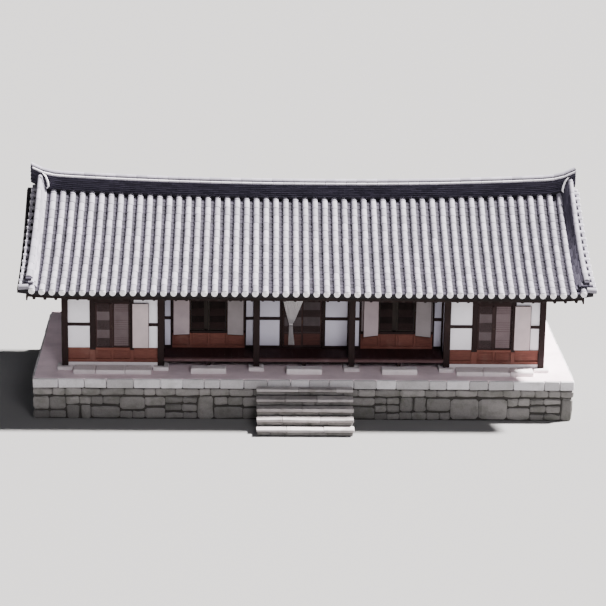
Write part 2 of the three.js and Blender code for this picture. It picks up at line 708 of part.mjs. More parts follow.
function build() {
  addNode("stone_podium", podium(), "stone");
  addNode("front_steps", steps(), "stone");
  addNode("porch_floor", porchFloor(), "timber");
  addNode("room_floor", roomFloor(), "stone");

  const bents = [];
  for (let i = 0; i <= BAYS; i++) {
    bents.push(timberBent(i));
    addNode(`timber_bent_${i + 1}`, bents[i], "timber");
  }
  addNode("front_eave_beam", eaveBeam(), "timber");
  addNode("ridge_purlin", ridgePurlin(), "timber");

  const rafterSet = rafters();
  addNode("front_rafters", rafterSet, "timber");
  addNode("back_rafters", mirroredInDepth(rafterSet), "timber");
  const bed = tileBed();
  addNode("front_roof", bed, "tile");
  addNode("back_roof", mirroredInDepth(bed), "tile");
  addNode("main_ridge", mainRidge(), "tile");
  const verge = vergeRidge();
  addNode("front_right_verge_ridge", verge, "tile");
  addNode("front_left_verge_ridge", verge.mirror([1, 0, 0]), "tile");
  addNode("back_right_verge_ridge", mirroredInDepth(verge), "tile");
  addNode("back_left_verge_ridge", mirroredInDepth(verge.mirror([1, 0, 0])), "tile");
  const barge = bargeboards();
  addNode("right_bargeboards", barge, "timber");
  addNode("left_bargeboards", barge.mirror([1, 0, 0]), "timber");

  BAY_KINDS.forEach((kind, bay) => {
    const frame = bayFrame(kind, columnX(bay));
    addNode(`bay_${bay + 1}_frame`, frame, "timber");
    addNode(`bay_${bay + 1}_wall`, bayWall(kind, columnX(bay), frame), "plaster");
  });
  endWindow(1, columnX(0));
  endWindow(5, columnX(4));
  porchWindow(2, columnX(1));
  porchWindow(4, columnX(3));

  const doorX = columnX(2) + DOOR_BAY.opening[0];
  const doorWide = DOOR_BAY.opening[1] - DOOR_BAY.opening[0];
  const track = PORCH_DEPTH - FRAME_OUT + 11;
  const leafWide = doorWide / 2 + 8;
  const leftXs = [doorX + DOOR_TRAVEL_CLEAR, doorX + DOOR_TRAVEL_CLEAR + leafWide];
  const rightEnd = doorX + doorWide - DOOR_TRAVEL_CLEAR;
  addNode("door_left", doorLeaf(leftXs, track), "lattice");
  addNode("door_right", doorLeaf([rightEnd - leafWide, rightEnd], track + 36), "lattice");
  addNode("door_curtain", doorCurtain(columnX(2)), "cloth");

  addNode("porch_end_wall_left", porchEndWall(1), "plaster");
  addNode("porch_end_wall_right", porchEndWall(4), "plaster");
  const gable = gableWall(bents[BAYS]);
  addNode("right_gable_wall", gable, "plaster");
  addNode("left_gable_wall", gable.mirror([1, 0, 0]), "plaster");
  const frame = backFrame();
  addNode("back_wall_frame", mirroredInDepth(frame), "timber");
  const backPlaster = cut(mirroredInDepth(backWall(frame)), [gable, gable.mirror([1, 0, 0])]);
  addNode("back_wall", backPlaster, "plaster");
}

build();
house.position.y = (STEPS_REACH - DEPTH - EAVE) / 2;

export default house;
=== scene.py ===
"""The looks of a five-bay Korean tiled house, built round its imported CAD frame.

Shapes are worked out in the house's own frame, in metres: x along the front, y from the front
columns to the back, z above the podium. HOUSE_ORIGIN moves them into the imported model's frame.
Every new piece but the curtain's cloth is a set of tubes: rings of points carried along a path,
as whole numpy arrays.
"""

import logging
from collections.abc import Callable, Iterable, Sequence
from dataclasses import dataclass
from enum import Enum
from itertools import pairwise
from typing import Any

import bpy
import numpy as np
from mathutils import Matrix, Vector


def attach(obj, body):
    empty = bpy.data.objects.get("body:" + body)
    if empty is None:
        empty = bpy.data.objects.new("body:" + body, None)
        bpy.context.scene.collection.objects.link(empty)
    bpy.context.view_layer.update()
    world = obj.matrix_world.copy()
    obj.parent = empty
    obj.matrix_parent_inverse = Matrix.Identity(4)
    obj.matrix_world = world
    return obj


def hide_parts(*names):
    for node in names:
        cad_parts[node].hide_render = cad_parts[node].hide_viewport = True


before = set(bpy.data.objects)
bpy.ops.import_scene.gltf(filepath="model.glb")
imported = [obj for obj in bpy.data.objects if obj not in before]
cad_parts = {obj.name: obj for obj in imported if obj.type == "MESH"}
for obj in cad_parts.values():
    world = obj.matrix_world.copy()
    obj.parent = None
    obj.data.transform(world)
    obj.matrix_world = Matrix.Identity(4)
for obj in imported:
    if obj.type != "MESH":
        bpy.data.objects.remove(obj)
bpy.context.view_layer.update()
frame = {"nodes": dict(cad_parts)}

LOG = logging.getLogger("house")
Array = np.ndarray
Span = tuple[float, float]
Box = tuple[Span, Span, Span]
Point = tuple[float, float, float]
Colour = tuple[float, float, float]
Given = dict[str | int, Any]
Material = bpy.types.Material

X_AXIS = (1, 0, 0)
Y_AXIS = (0, 1, 0)

# Plan and heights of the timber frame, as the CAD model has them
HOUSE_ORIGIN = np.array([0.0, -1.85, 1.2])
BAY = 2.7
BAYS = 5
END_X = BAY * BAYS / 2
DEPTH = 4.8
PORCH = 0.9
COLUMN = 0.18
PODIUM_HEIGHT = 1.2
STONE_HEIGHT = 0.1
FLOOR = 0.36
LINTEL_LOW = 2.03
COLUMN_TOP = 2.3
CROSSBEAM_TOP = 2.58
RIDGE_Y = DEPTH / 2
WINDOW_TOP = 1.94
FRAME_OUT = 0.055
FRAME_IN = 0.035
BARGEBOARD_X = 7.68


def column_x(index: int) -> float:
    """The x of a column line, counted from the left."""
    return -END_X + index * BAY


def about(middle: float, half: float) -> Span:
    """The span that reaches a half width to both sides of a middle."""
    return middle - half, middle + half


# Shader maths


class Value:
    """A shader socket on which Python's arithmetic adds Math nodes."""

    def __init__(self, bench: "Bench", socket: bpy.types.NodeSocket) -> None:
        """Keeps the socket and the bench that it belongs to."""
        self.bench = bench
        self.socket = socket

    def _math(self, operation: str, *operands: "Value | float") -> "Value":
        """Adds a Math node of the named operation."""
        return self.bench.node("Math", {"operation": operation}, dict(enumerate(operands)))

    def __add__(self, other: "Value | float") -> "Value":
        """Sum."""
        return self._math("ADD", self, other)

    __radd__ = __add__

    def __mul__(self, other: "Value | float") -> "Value":
        """Product."""
        return self._math("MULTIPLY", self, other)

    __rmul__ = __mul__

    def ease(self, low: float, high: float) -> "Value":
        """A smooth step from 0 at low to 1 at high, which falls where high is below low."""
        ends = {"From Min": low, "From Max": high}
        return self.bench.node("MapRange", {"interpolation_type": "SMOOTHSTEP"}, {"Value": self, **ends})


class Bench:
    """One material's nodes, with the calls that the finishes use."""

    def __init__(self, constants: Given) -> None:
        """Makes a material with its own Principled shader.

        Args:
            constants: Values of the shader's own sockets.
        """
        self.material = bpy.data.materials.new("finish")
        self.material.use_nodes = True
        self.tree = self.material.node_tree
        self.shader = self.tree.nodes["Principled BSDF"]
        self._plug(self.shader, constants)

    def node(self, kind: str, settings: Given, inputs: Given, output: str | int = 0) -> Value:
        """Adds a node, sets it, and gives it values or links.

        Args:
            kind: The node's type, without ShaderNode.
            settings: Properties, set first.
            inputs: Values or links, by socket name or number.
            output: The socket to return.

        Returns:
            The node's output.
        """
        made = self.tree.nodes.new(f"ShaderNode{kind}")
        for name, value in settings.items():
            setattr(made, name, value)
        self._plug(made, inputs)
        return Value(self, made.outputs[output])

    def _plug(self, node: bpy.types.Node, inputs: Given) -> None:
        """Gives a node's sockets their values or links.

        Args:
            node: The node.
            inputs: Values or links, by socket name or number.
        """
        for name, value in inputs.items():
            if isinstance(value, Value):
                self.tree.links.new(value.socket, node.inputs[name])
            else:
                node.inputs[name].default_value = value

    def place(self, own: bool, stretch: Point = (1, 1, 1)) -> Value:
        """The point that a pattern is read at.

        Args:
            own: True for the member's own coordinates, false for the object's.
            stretch: Factors along the three axes.

        Returns:
            The stretched coordinates.
        """
        if own:
            source = self.node("Attribute", {"attribute_name": "own"}, {}, "Vector")
        else:
            source = self.node("TexCoord", {}, {}, "Object")
        return self.node("VectorMath", {"operation": "MULTIPLY"}, {0: source, 1: stretch})

    def noise(self, place: Value, scale: float, detail: float = 3, roughness: float = 0.55) -> Value:
        """Fractal noise from about 0.2 to 0.8, with its scale in grains a metre and its detail in octaves."""
        sockets = {"Vector": place, "Scale": scale, "Detail": detail, "Roughness": roughness}
        return self.node("TexNoise", {}, sockets)

    def tint(self) -> Value:
        """The member's own random number, from 0 to 1."""
        return self.node("Attribute", {"attribute_name": "tint"}, {}, "Fac")

    def mix(self, share: Value | float, first: Value | Colour, second: Value | Colour) -> Value:
        """Mixes two colours or links by the share of the second one."""
        full = [c if isinstance(c, Value) else (*c, 1) for c in (first, second)]
        return self.node("Mix", {"data_type": "RGBA"}, {0: share, 6: full[0], 7: full[1]}, 2)

    def finish(self, colour: Value, roughness: Value | float, height: Value, depth: float) -> Material:
        """Wires colour, roughness and relief into the shader.

        Args:
            colour: Base colour.
            roughness: Roughness.
            height: Relief, from 0 to 1.
            depth: Metres that the relief spans.

        Returns:
            The finished material.
        """
        bump = self.node("Bump", {}, {"Strength": 1.0, "Distance": depth, "Height": height})
        self._plug(self.shader, {"Base Color": colour, "Roughness": roughness, "Normal": bump})
        return self.material


# Finishes


@dataclass(frozen=True)
class Timber:
    """Stained pine: grain along each member, darker and lighter members, grey wear."""

    dark: Colour
    light: Colour
    worn: Colour
    wear: float = 0.35

    def material(self) -> Material:
        """Grain is noise read 14 times finer across a member than along it.

        Returns:
            The material.
        """
        bench = Bench({"Specular IOR Level": 0.2})
        grain = bench.noise(bench.place(True, (1.6, 24, 24)), 3.2, 5, 0.62)
        bands = bench.noise(bench.place(True, (0.7, 9, 9)), 2.1, 2, 0.5)
        patches = bench.noise(bench.place(False), 1.3, 4, 0.6)
        share = grain.ease(0.25, 0.75) * 0.55 + bench.tint() * 0.3 + bands * 0.25
        wood = bench.mix(share, self.dark, self.light)
        worn = bench.mix(patches.ease(0.52, 0.75) * self.wear, wood, self.worn)
        roughness = 0.62 + grain * 0.25
        return bench.finish(worn, roughness, grain * 0.7 + bands * 0.3, 0.0025)


@dataclass(frozen=True)
class Clay:
    """Unglazed fired tile: each tile its own grey, with soot, lichen and pores."""

    dark: Colour
    light: Colour
    lichen: Colour
    stain: float = 0.4

    def material(self) -> Material:
        """Tiles differ by their tint; soot runs down the slope and lichen sits in spots.

        Returns:
            The material.
        """
        bench = Bench({"Specular IOR Level": 0.25})
        place = bench.place(False)
        runs = bench.noise(bench.place(False, (6, 0.8, 0.8)), 1.7, 4, 0.6)
        spots = bench.noise(place, 24, 3, 0.6)
        pores = bench.noise(place, 160, 2, 0.6)
        body = bench.mix(bench.tint() * 0.75 + pores * 0.25, self.dark, self.light)
        sooty = bench.mix(runs.ease(0.45, 0.72) * self.stain, body, self.dark)
        grown = bench.mix(spots.ease(0.6, 0.72) * 0.5, sooty, self.lichen)
        return bench.finish(grown, 0.55 + spots * 0.4, pores * 0.6 + spots * 0.4, 0.002)


@dataclass(frozen=True)
class Plaster:
    """Lime plaster: trowel marks, faint cloudy stains, splashes of earth near the ground."""

    light: Colour
    cloud: Colour
    earth: Colour
    splash: Span = (1.9, 1.3)

    def material(self) -> Material:
        """The share of earth rises below the splash heights, broken up by noise.

        Returns:
            The material.
        """
        bench = Bench({})
        place = bench.place(False)
        clouds = bench.noise(place, 1.6, 5, 0.6)
        trowel = bench.noise(bench.place(False, (1, 1, 2.5)), 16, 4, 0.6)
        lime = bench.mix(clouds.ease(0.42, 0.75) * 0.6, self.light, self.cloud)
        height = bench.node("SeparateXYZ", {}, {0: place}, 2)
        foot = (height + clouds * 0.5).ease(self.splash[0] + 0.25, self.splash[1] + 0.25)
        return bench.finish(bench.mix(foot * 0.45, lime, self.earth), 0.82, trowel, 0.003)


@dataclass(frozen=True)
class Stone:
    """Granite: each block its own tone, with grains, dark weathering and lichen."""

    dark: Colour
    light: Colour
    lichen: Colour
    growth: float = 0.5

    def material(self) -> Material:
        """Grains come from cells, weathering from broad noise, lichen from spots.

        Returns:
            The material.
        """
        bench = Bench({})
        place = bench.place(False)
        grains = bench.node("TexVoronoi", {}, {"Vector": place, "Scale": 130}, "Color")
        speck = bench.node("SeparateXYZ", {}, {0: grains})
        weather = bench.noise(place, 3.1, 5, 0.62)
        rough = bench.noise(place, 26, 5, 0.65)
        tone = bench.tint() * 0.55 + speck * 0.2 + rough * 0.25
        body = bench.mix(tone, self.dark, self.light)
        aged = bench.mix(weather.ease(0.45, 0.7) * self.growth, body, self.lichen)
        return bench.finish(aged, 0.88, rough * 0.75 + weather * 0.25, 0.012)


@dataclass(frozen=True)
class Earth:
    """Trodden lime earth with pebbles and faint cracks."""

    light: Colour
    dark: Colour

    def material(self) -> Material:
        """Broad damp patches, fine grit and raised pebbles.

        Returns:
            The material.
        """
        bench = Bench({})
        place = bench.place(False)
        damp = bench.noise(place, 1.1, 5, 0.6)
        grit = bench.noise(place, 60, 3, 0.6)
        pebbles = bench.node("TexVoronoi", {}, {"Vector": place, "Scale": 34})
        share = damp.ease(0.35, 0.72) * 0.7 + grit * 0.3
        height = grit * 0.4 + pebbles.ease(0.4, 0.0) * 0.6
        return bench.finish(bench.mix(share, self.light, self.dark), 0.92, height, 0.004)


@dataclass(frozen=True)
class Paper:
    """Mulberry paper: long fibres and yellowed patches."""

    light: Colour
    aged: Colour

    def material(self) -> Material:
        """Fibres are noise stretched along x and z in turn.

        Returns:
            The material.
        """
        bench = Bench({})
        fibres = bench.noise(bench.place(False, (7, 7, 60)), 3, 4, 0.6)
        crossing = bench.noise(bench.place(False, (60, 7, 7)), 3, 4, 0.6)
        patches = bench.noise(bench.place(False), 2.6, 3, 0.5)
        share = patches.ease(0.35, 0.75) * 0.6 + fibres * 0.2 + crossing * 0.2
        sheet = bench.mix(share, self.light, self.aged)
        return bench.finish(sheet, 0.85, fibres * 0.5 + crossing * 0.5, 0.0006)


@dataclass(frozen=True)
class Cotton:
    """Plain-woven cotton: two crossing sets of threads in the cloth's own coordinates."""

    light: Colour
    shade: Colour

    def material(self) -> Material:
        """Threads are two waves across each other; patches are where the cloth is soiled.

        Returns:
            The material.
        """
        bench = Bench({"Specular IOR Level": 0.1})
        place = bench.place(True)
        sockets = {"Vector": place, "Scale": 260}
        waves = [bench.node("TexWave", {"bands_direction": way}, sockets, "Fac") for way in "XY"]
        weave = waves[0] * 0.5 + waves[1] * 0.5
        patches = bench.noise(bench.place(False), 5, 3, 0.5)
        share = patches.ease(0.4, 0.75) * 0.5 + weave * 0.15
        return bench.finish(bench.mix(share, self.light, self.shade), 0.9, weave, 0.0005)


@dataclass(frozen=True)
class Iron:
    """Forged iron: dark scale with brown rust."""

    scale: Colour
    rust: Colour

    def material(self) -> Material:
        """Rust spots take the metal's shine away.

        Returns:
            The material.
        """
        bench = Bench({"Metallic": 0.8})
        spots = bench.noise(bench.place(False), 90, 4, 0.6)
        rusty = spots.ease(0.45, 0.6)
        return bench.finish(bench.mix(rusty, self.scale, self.rust), 0.45 + rusty * 0.4, spots, 0.001)


class Finish(Enum):
    """The finishes of the house."""

    COVER_TILE = Clay((0.176, 0.169, 0.197), (0.318, 0.304, 0.35), (0.25, 0.245, 0.26), 0.2)
    # Channel tiles, also used for the ridge and verge cores, are painted near-black, far darker than the
    # covers of the same clay: painted shade between the covers and in the ridges' recesses.
    SHADED_CHANNEL_TILE = Clay((0.01, 0.009, 0.014), (0.03, 0.026, 0.04), (0.04, 0.04, 0.045), 0.3)
    # Ridge tiles: the tiles' own dark grey, darkened further with painted shade on the faces of the ridges.
    RIDGE_TILE = Clay((0.017, 0.015, 0.027), (0.058, 0.052, 0.078), (0.09, 0.09, 0.095), 0.3)
    # A darker copy of the cover tile for the right verges' inner faces: painted shade on the side turned from
    # the key light.
    SHADED_VERGE_TILE = Clay((0.024, 0.021, 0.034), (0.085, 0.078, 0.108), (0.12, 0.115, 0.135), 0.4)
    STRING_TILE = Clay((0.4, 0.385, 0.42), (0.64, 0.62, 0.66), (0.5, 0.49, 0.49), 0.2)
    ROOF_LIME = Plaster((0.92, 0.9, 0.93), (0.76, 0.74, 0.77), (0.4, 0.39, 0.38), (0.1, 0.0))
    # The clay bed is painted near-black: painted shade at the eave's face.
    SHADED_BED = Clay((0.006, 0.005, 0.007), (0.016, 0.014, 0.016), (0.03, 0.03, 0.026))
    # The frame's timbers: a red-brown stain darkened to near black with painted shade of the eaves and porch.
    SHADED_POST = Timber((0.006, 0.003, 0.003), (0.022, 0.01, 0.0092), (0.048, 0.03, 0.027))
    PANEL = Timber((0.072, 0.024, 0.019), (0.195, 0.072, 0.054), (0.26, 0.145, 0.12))
    # Rafters, purlin and eave board are painted near-black: painted shade under the eave.
    SHADED_RAFTER = Timber((0.004, 0.0024, 0.0024), (0.016, 0.009, 0.008), (0.03, 0.02, 0.018))
    BOARD = Timber((0.012, 0.004, 0.0045), (0.042, 0.014, 0.015), (0.065, 0.034, 0.034), 0.3)
    GIRT = Timber((0.042, 0.021, 0.023), (0.115, 0.066, 0.069), (0.19, 0.13, 0.135), 0.6)
    DARK_LATTICE = Timber((0.012, 0.006, 0.006), (0.042, 0.022, 0.021), (0.065, 0.042, 0.04))
    # Wood of the porch windows' inner leaves, near black: painted shade of the room behind them.
    SCREEN_WOOD = Timber((0.01, 0.007, 0.006), (0.03, 0.023, 0.019), (0.04, 0.033, 0.029))
    DOOR_PANEL = Timber((0.028, 0.011, 0.01), (0.08, 0.031, 0.026), (0.12, 0.07, 0.06))
    LATTICE = Timber((0.07, 0.045, 0.047), (0.16, 0.108, 0.112), (0.19, 0.14, 0.145))
    PLASTER = Plaster((0.86, 0.84, 0.89), (0.74, 0.72, 0.77), (0.56, 0.48, 0.46))
    # A darker, bluer copy of the plaster for the recessed porch walls: painted shade of the porch.
    SHADED_PORCH_PLASTER = Plaster((0.59, 0.575, 0.675), (0.51, 0.495, 0.58), (0.46, 0.43, 0.48))
    FACING = Stone((0.055, 0.054, 0.05), (0.3, 0.285, 0.275), (0.06, 0.066, 0.046), 0.45)
    EDGE = Stone((0.2, 0.19, 0.19), (0.76, 0.74, 0.77), (0.24, 0.24, 0.22), 0.35)
    STEP = Stone((0.17, 0.155, 0.152), (0.56, 0.52, 0.515), (0.12, 0.11, 0.095), 0.45)
    LEDGE = Stone((0.58, 0.52, 0.53), (0.9, 0.84, 0.85), (0.46, 0.42, 0.41), 0.3)
    MORTAR = Earth((0.04, 0.036, 0.032), (0.02, 0.019, 0.017))
    PODIUM_TOP = Earth((0.92, 0.76, 0.8), (0.68, 0.55, 0.585))
    WINDOW_PAPER = Paper((0.25, 0.195, 0.205), (0.17, 0.13, 0.137))
    END_PAPER = Paper((0.19, 0.15, 0.157), (0.125, 0.097, 0.102))
    SHADED_PAPER = Paper((0.098, 0.078, 0.083), (0.054, 0.043, 0.047))
    OPEN_PAPER = Paper((0.56, 0.475, 0.485), (0.44, 0.37, 0.375))
    # Lit and shaded copies of the porch windows' paper: the right leaves' copy is darker, painted shade for
    # their turn from the light.
    PORCH_PAPER = Paper((0.42, 0.345, 0.365), (0.31, 0.255, 0.27))
    PAINTED_SHADE_PAPER = Paper((0.28, 0.25, 0.257), (0.21, 0.187, 0.192))
    FLOOR_PAPER = Paper((0.5, 0.37, 0.19), (0.39, 0.27, 0.12))
    # Near-black cloth of the porch windows' inner leaves: painted shade of the room behind them.
    SCREEN = Cotton((0.005, 0.004, 0.004), (0.013, 0.01, 0.01))
    COTTON = Cotton((0.7, 0.675, 0.685), (0.58, 0.56, 0.57))
    IRON = Iron((0.05, 0.045, 0.04), (0.13, 0.06, 0.035))

    def material(self) -> Material:
        """The finish's material, made the first time that it is asked for.

        Returns:
            The material, under the finish's name.
        """
        made = bpy.data.materials.get(self.name) or self.value.material()
        made.name = self.name
        return made


# Forms


@dataclass
class Form:
    """Closed surfaces as arrays: points, polygons, and each point's own coordinates and tint."""

    points: Array
    faces: list[Array]
    own: Array
    tint: Array

    @staticmethod
    def together(forms: Iterable["Form"]) -> "Form":
        """Puts several forms into one.

        Args:
            forms: The forms.

        Returns:
            One form with all their points and faces.
        """
        forms = list(forms)
        starts = np.cumsum([0, *(len(f.points) for f in forms[:-1])])
        faces = [group + start for f, start in zip(forms, starts) for group in f.faces]
        columns = [np.concatenate([getattr(f, key) for f in forms]) for key in ("points", "own", "tint")]
        return Form(columns[0], faces, columns[1], columns[2])

    def changed(self, change: Callable[[Array], Array]) -> "Form":
        """The form with its points passed through a function of all points at once."""
        return Form(change(self.points), self.faces, self.own, self.tint)

    def with_axis(self, axis: int, values: Array) -> "Form":
        """The form with new values on one axis of its points."""
        points = np.where(np.arange(3) == axis, np.reshape(values, (-1, 1)), self.points)
        return Form(points, self.faces, self.own, self.tint)

    def flipped(self, axis: int, plane: float = 0.0) -> "Form":
        """The form mirrored across a plane, with its faces turned round to point outwards."""
        mirrored = self.with_axis(axis, 2 * plane - self.points[:, axis])
        return Form(mirrored.points, [group[:, ::-1] for group in self.faces], self.own, self.tint)


def tubes(rings: Array, own: Array, tint: Array, looped: bool = False) -> Form:
    """Bodies made of rings of points, each joined to the next one by quads.

    Args:
        rings: Points [body, station, corner, axis], anticlockwise as seen from the last station.
        own: Each point's own coordinates, of the same shape.
        tint: One number for each body.
        looped: True to join the last ring to the first one, false to close the ends.

    Returns:
        The bodies as one form.
    """
    bodies, stations, corners = rings.shape[:3]
    index = np.arange(bodies * stations * corners).reshape(bodies, stations, corners)
    here = index if looped else index[:, :-1]
    there = np.roll(index, -1, 1) if looped else index[:, 1:]
    faces = [np.stack([here, np.roll(here, -1, 2), np.roll(there, -1, 2), there], -1).reshape(-1, 4)]
    if not looped:
        faces += [index[:, 0, ::-1], index[:, -1]]
    spread = np.repeat(tint, stations * corners)
    return Form(rings.reshape(-1, 3), faces, own.reshape(-1, 3), spread)


def spots(count: int, seed: int) -> tuple[Array, Array]:
    """Random offsets in metres [member, 1, 1, axis] and tints, so that no two members share their grain."""
    draw = np.random.default_rng(seed)
    return draw.uniform(0, 40, (count, 1, 1, 3)), draw.uniform(0, 1, count)


# An octagon round a rectangle with cut corners: signs, and where the cut takes the half width
OCTAGON = np.array([(1, -1), (1, -1), (1, 1), (1, 1), (-1, 1), (-1, 1), (-1, -1), (-1, -1)], float)
OCTAGON_CUT = np.array([(1, 0), (0, 1), (0, 1), (1, 0), (1, 0), (0, 1), (0, 1), (1, 0)], float)
SQUARE = np.array([(1, -1), (1, 1), (-1, 1), (-1, -1)], float)


def lengthways(spans: Array) -> tuple[Array, Array, Array]:
    """Each box's longest axis, its length there, and the half sizes on the next two axes.

    Args:
        spans: Low and high value of each box on x, y and z.

    Returns:
        Axes, lengths and half sizes [box, 2].
    """
    size = spans[..., 1] - spans[..., 0]
    axis = size.argmax(1)
    row = np.arange(len(spans))
    half = np.stack([size[row, (axis + 1) % 3], size[row, (axis + 2) % 3]], 1) / 2
    return axis, size[row, axis], half


def members(spans: Array, along: Array, cross: Array, seed: int) -> Form:
    """Bodies that lie in their boxes, each along its longest axis.

    Args:
        spans: Low and high value of each box on x, y and z.
        along: Places of the stations from the box's end [member, station].
        cross: The section round the box's middle line [member, station, corner, 2].
        seed: Seed of tint and grain.

    Returns:
        The bodies as one form.
    """
    axis = lengthways(spans)[0]
    places = np.broadcast_to(along[:, :, None, None], (*cross.shape[:3], 1))
    local = np.concatenate([places, cross], -1)
    order = (np.arange(3) - axis[:, None]) % 3
    rings = np.take_along_axis(local, np.broadcast_to(order[:, None, None], local.shape), 3)
    origin = spans.mean(-1)
    row = np.arange(len(spans))
    origin[row, axis] = spans[row, axis, 0]
    shift, tint = spots(len(spans), seed)
    return tubes(rings + origin[:, None, None], local + shift, tint)


def beams(boxes: Sequence[Box], edge: float, seed: int) -> Form:
    """Members with eased edges, each along the longest side of its box.

    The section is a rectangle with its corners cut by edge, and it draws in by edge at both ends.

    Args:
        boxes: For each member, its spans on x, y and z.
        edge: Width of the eased edge, 0 for plain bars.
        seed: Seed of tint and grain.

    Returns:
        The members as one form.
    """
    spans = np.asarray(boxes, float).reshape(-1, 3, 2)
    _, length, half = lengthways(spans)
    if edge:
        ease = np.minimum(edge, 0.3 * half.min(1))[:, None]
        along = np.concatenate([0 * ease, ease, length[:, None] - ease, length[:, None]], 1)
        draw_in = np.array([1, 0, 0, 1])[None, :, None, None] * ease[:, None, :, None]
        section = OCTAGON * (half[:, None] - OCTAGON_CUT * ease[:, None])
        cross = section[:, None] - OCTAGON * draw_in
    else:
        along = np.stack([0 * length, length], 1)
        cross = np.broadcast_to((SQUARE * half[:, None])[:, None], (len(spans), 2, 4, 2))
    return members(spans, along, cross, seed)


def rubble(boxes: Sequence[Box], seed: int, tone: Span, rough: float = 0.028) -> Form:
    """Rough wall stones: a rounded section that swells to the box's size in the stone's middle.

    A corner stands at sign(cos a) sqrt|cos a|, sign(sin a) sqrt|sin a| of the half sizes,
    less a random depth of its own.

    Args:
        boxes: For each stone, its spans on x, y and z.
        seed: Seed of the shapes and tones.
        tone: Range that the stones' tints are drawn from.
        rough: Greatest depth that a corner is drawn in, in metres.

    Returns:
        The stones as one form.
    """
    spans = np.asarray(boxes, float).reshape(-1, 3, 2)
    _, length, half = lengthways(spans)
    angle = (np.arange(10) + 0.5) * np.pi / 5
    circle = np.stack([np.cos(angle), np.sin(angle)], 1)
    section = np.sign(circle) * np.sqrt(np.abs(circle))
    stations = np.array([0, 0.1, 0.5, 0.9, 1])
    swell = np.array([0.80, 0.98, 1, 0.98, 0.80])
    depth = np.random.default_rng(seed).uniform(0, rough, (len(spans), 5, 10, 1))
    cross = section * (half[:, None, None] * swell[:, None, None] - depth)
    form = members(spans, length[:, None] * stations, cross, seed + 1)
    return Form(form.points, form.faces, form.own, tone[0] + form.tint * (tone[1] - tone[0]))


def stones(boxes: Sequence[Box], edge: float, rough: float, seed: int) -> Form:
    """Dressed blocks: eased boxes whose points are each pushed a little out of place.

    Args:
        boxes: For each block, its spans on x, y and z.
        edge: Width of the eased edge.
        rough: Greatest push of a point, in metres.
        seed: Seed of the pushes and tones.

    Returns:
        The blocks as one form.
    """
    form = beams(boxes, edge, seed)
    push = np.random.default_rng(seed + 500).uniform(-rough, rough, form.points.shape)
    return form.changed(lambda points: points + push)


def runs(paths: Array, radius: float | Array, side: Point, corners: int, seed: int) -> Form:
    """Round members: a circle carried along each path.

    The circle stands square to the path, between the side direction and the one square to both.

    Args:
        paths: Points [member, station, axis].
        radius: One radius, or one for each station.
        side: A direction square to every path.
        corners: Points on the circle.
        seed: Seed of tint and grain.

    Returns:
        The members as one form.
    """
    ahead = np.gradient(paths, axis=1)
    ahead /= np.linalg.norm(ahead, axis=2, keepdims=True)
    across = np.broadcast_to(np.asarray(side, float), paths.shape)
    up = np.cross(ahead, across)
    angle = np.linspace(0, 2 * np.pi, corners, endpoint=False)[:, None]
    reach = np.broadcast_to(np.asarray(radius, float), paths.shape[1:2])[None, :, None, None]
    circle = np.cos(angle) * across[:, :, None] + np.sin(angle) * up[:, :, None]
    step = np.linalg.norm(np.diff(paths, axis=1, prepend=paths[:, :1]), axis=2).cumsum(1)
    flat = np.concatenate([0 * angle, np.cos(angle), np.sin(angle)], 1)
    local = flat[None, None] * reach + step[:, :, None, None] * np.array([1, 0, 0])
    shift, tint = spots(len(paths), seed)
    return tubes(paths[:, :, None] + circle * reach, local + shift, tint)


# Where a tile's length and the two axes of its section lie: the length on x, or on y
ALONG = (0, 1, 2)
ACROSS = (1, 0, 2)


def copies(feet: Array, along: Array, section: Array, order: tuple[int, int, int], seed: int) -> Form:
    """One body set at many places: its section at each station of its length.

    Args:
        feet: Places of the bodies [body, axis].
        along: Places of the stations on the length.
        section: Points round the length [station, corner, 2].
        order: ALONG or ACROSS.
        seed: Seed of tint and grain.

    Returns:
        The bodies as one form.
    """
    stations = np.broadcast_to(along[:, None, None], (*section.shape[:2], 1))
    local = np.concatenate([stations, section], -1)[None]
    shift, tint = spots(len(feet), seed)
    return tubes(local[..., order] + feet[:, None, None], local + shift, tint)


def arch(radius: Array, turn: float, foot: Array | float, rise: float = 1.0) -> Array:
    """Sections of half-round tiles, of nine points each.

    A point stands at radius sin t across and foot + rise radius cos t up, with t between
    -turn and turn quarters of a circle.

    Args:
        radius: One radius for each station.
        turn: Quarters of a circle to each side; below 0, the points run the other way.
        foot: Height of the circle's middle, one or one for each station.
        rise: Factor on the height.

    Returns:
        Points [station, corner, 2].
    """
    t = np.linspace(-turn, turn, 9) * np.pi / 2
    across = radius[:, None] * np.sin(t)
    return np.stack([across, np.reshape(foot, (-1, 1)) + rise * radius[:, None] * np.cos(t)], -1)


def on_side(form: Form, side: str) -> Form:
    """A form made for the front, in its place on the front or mirrored to the back."""
    return form if side == "front" else form.flipped(1, RIDGE_Y)


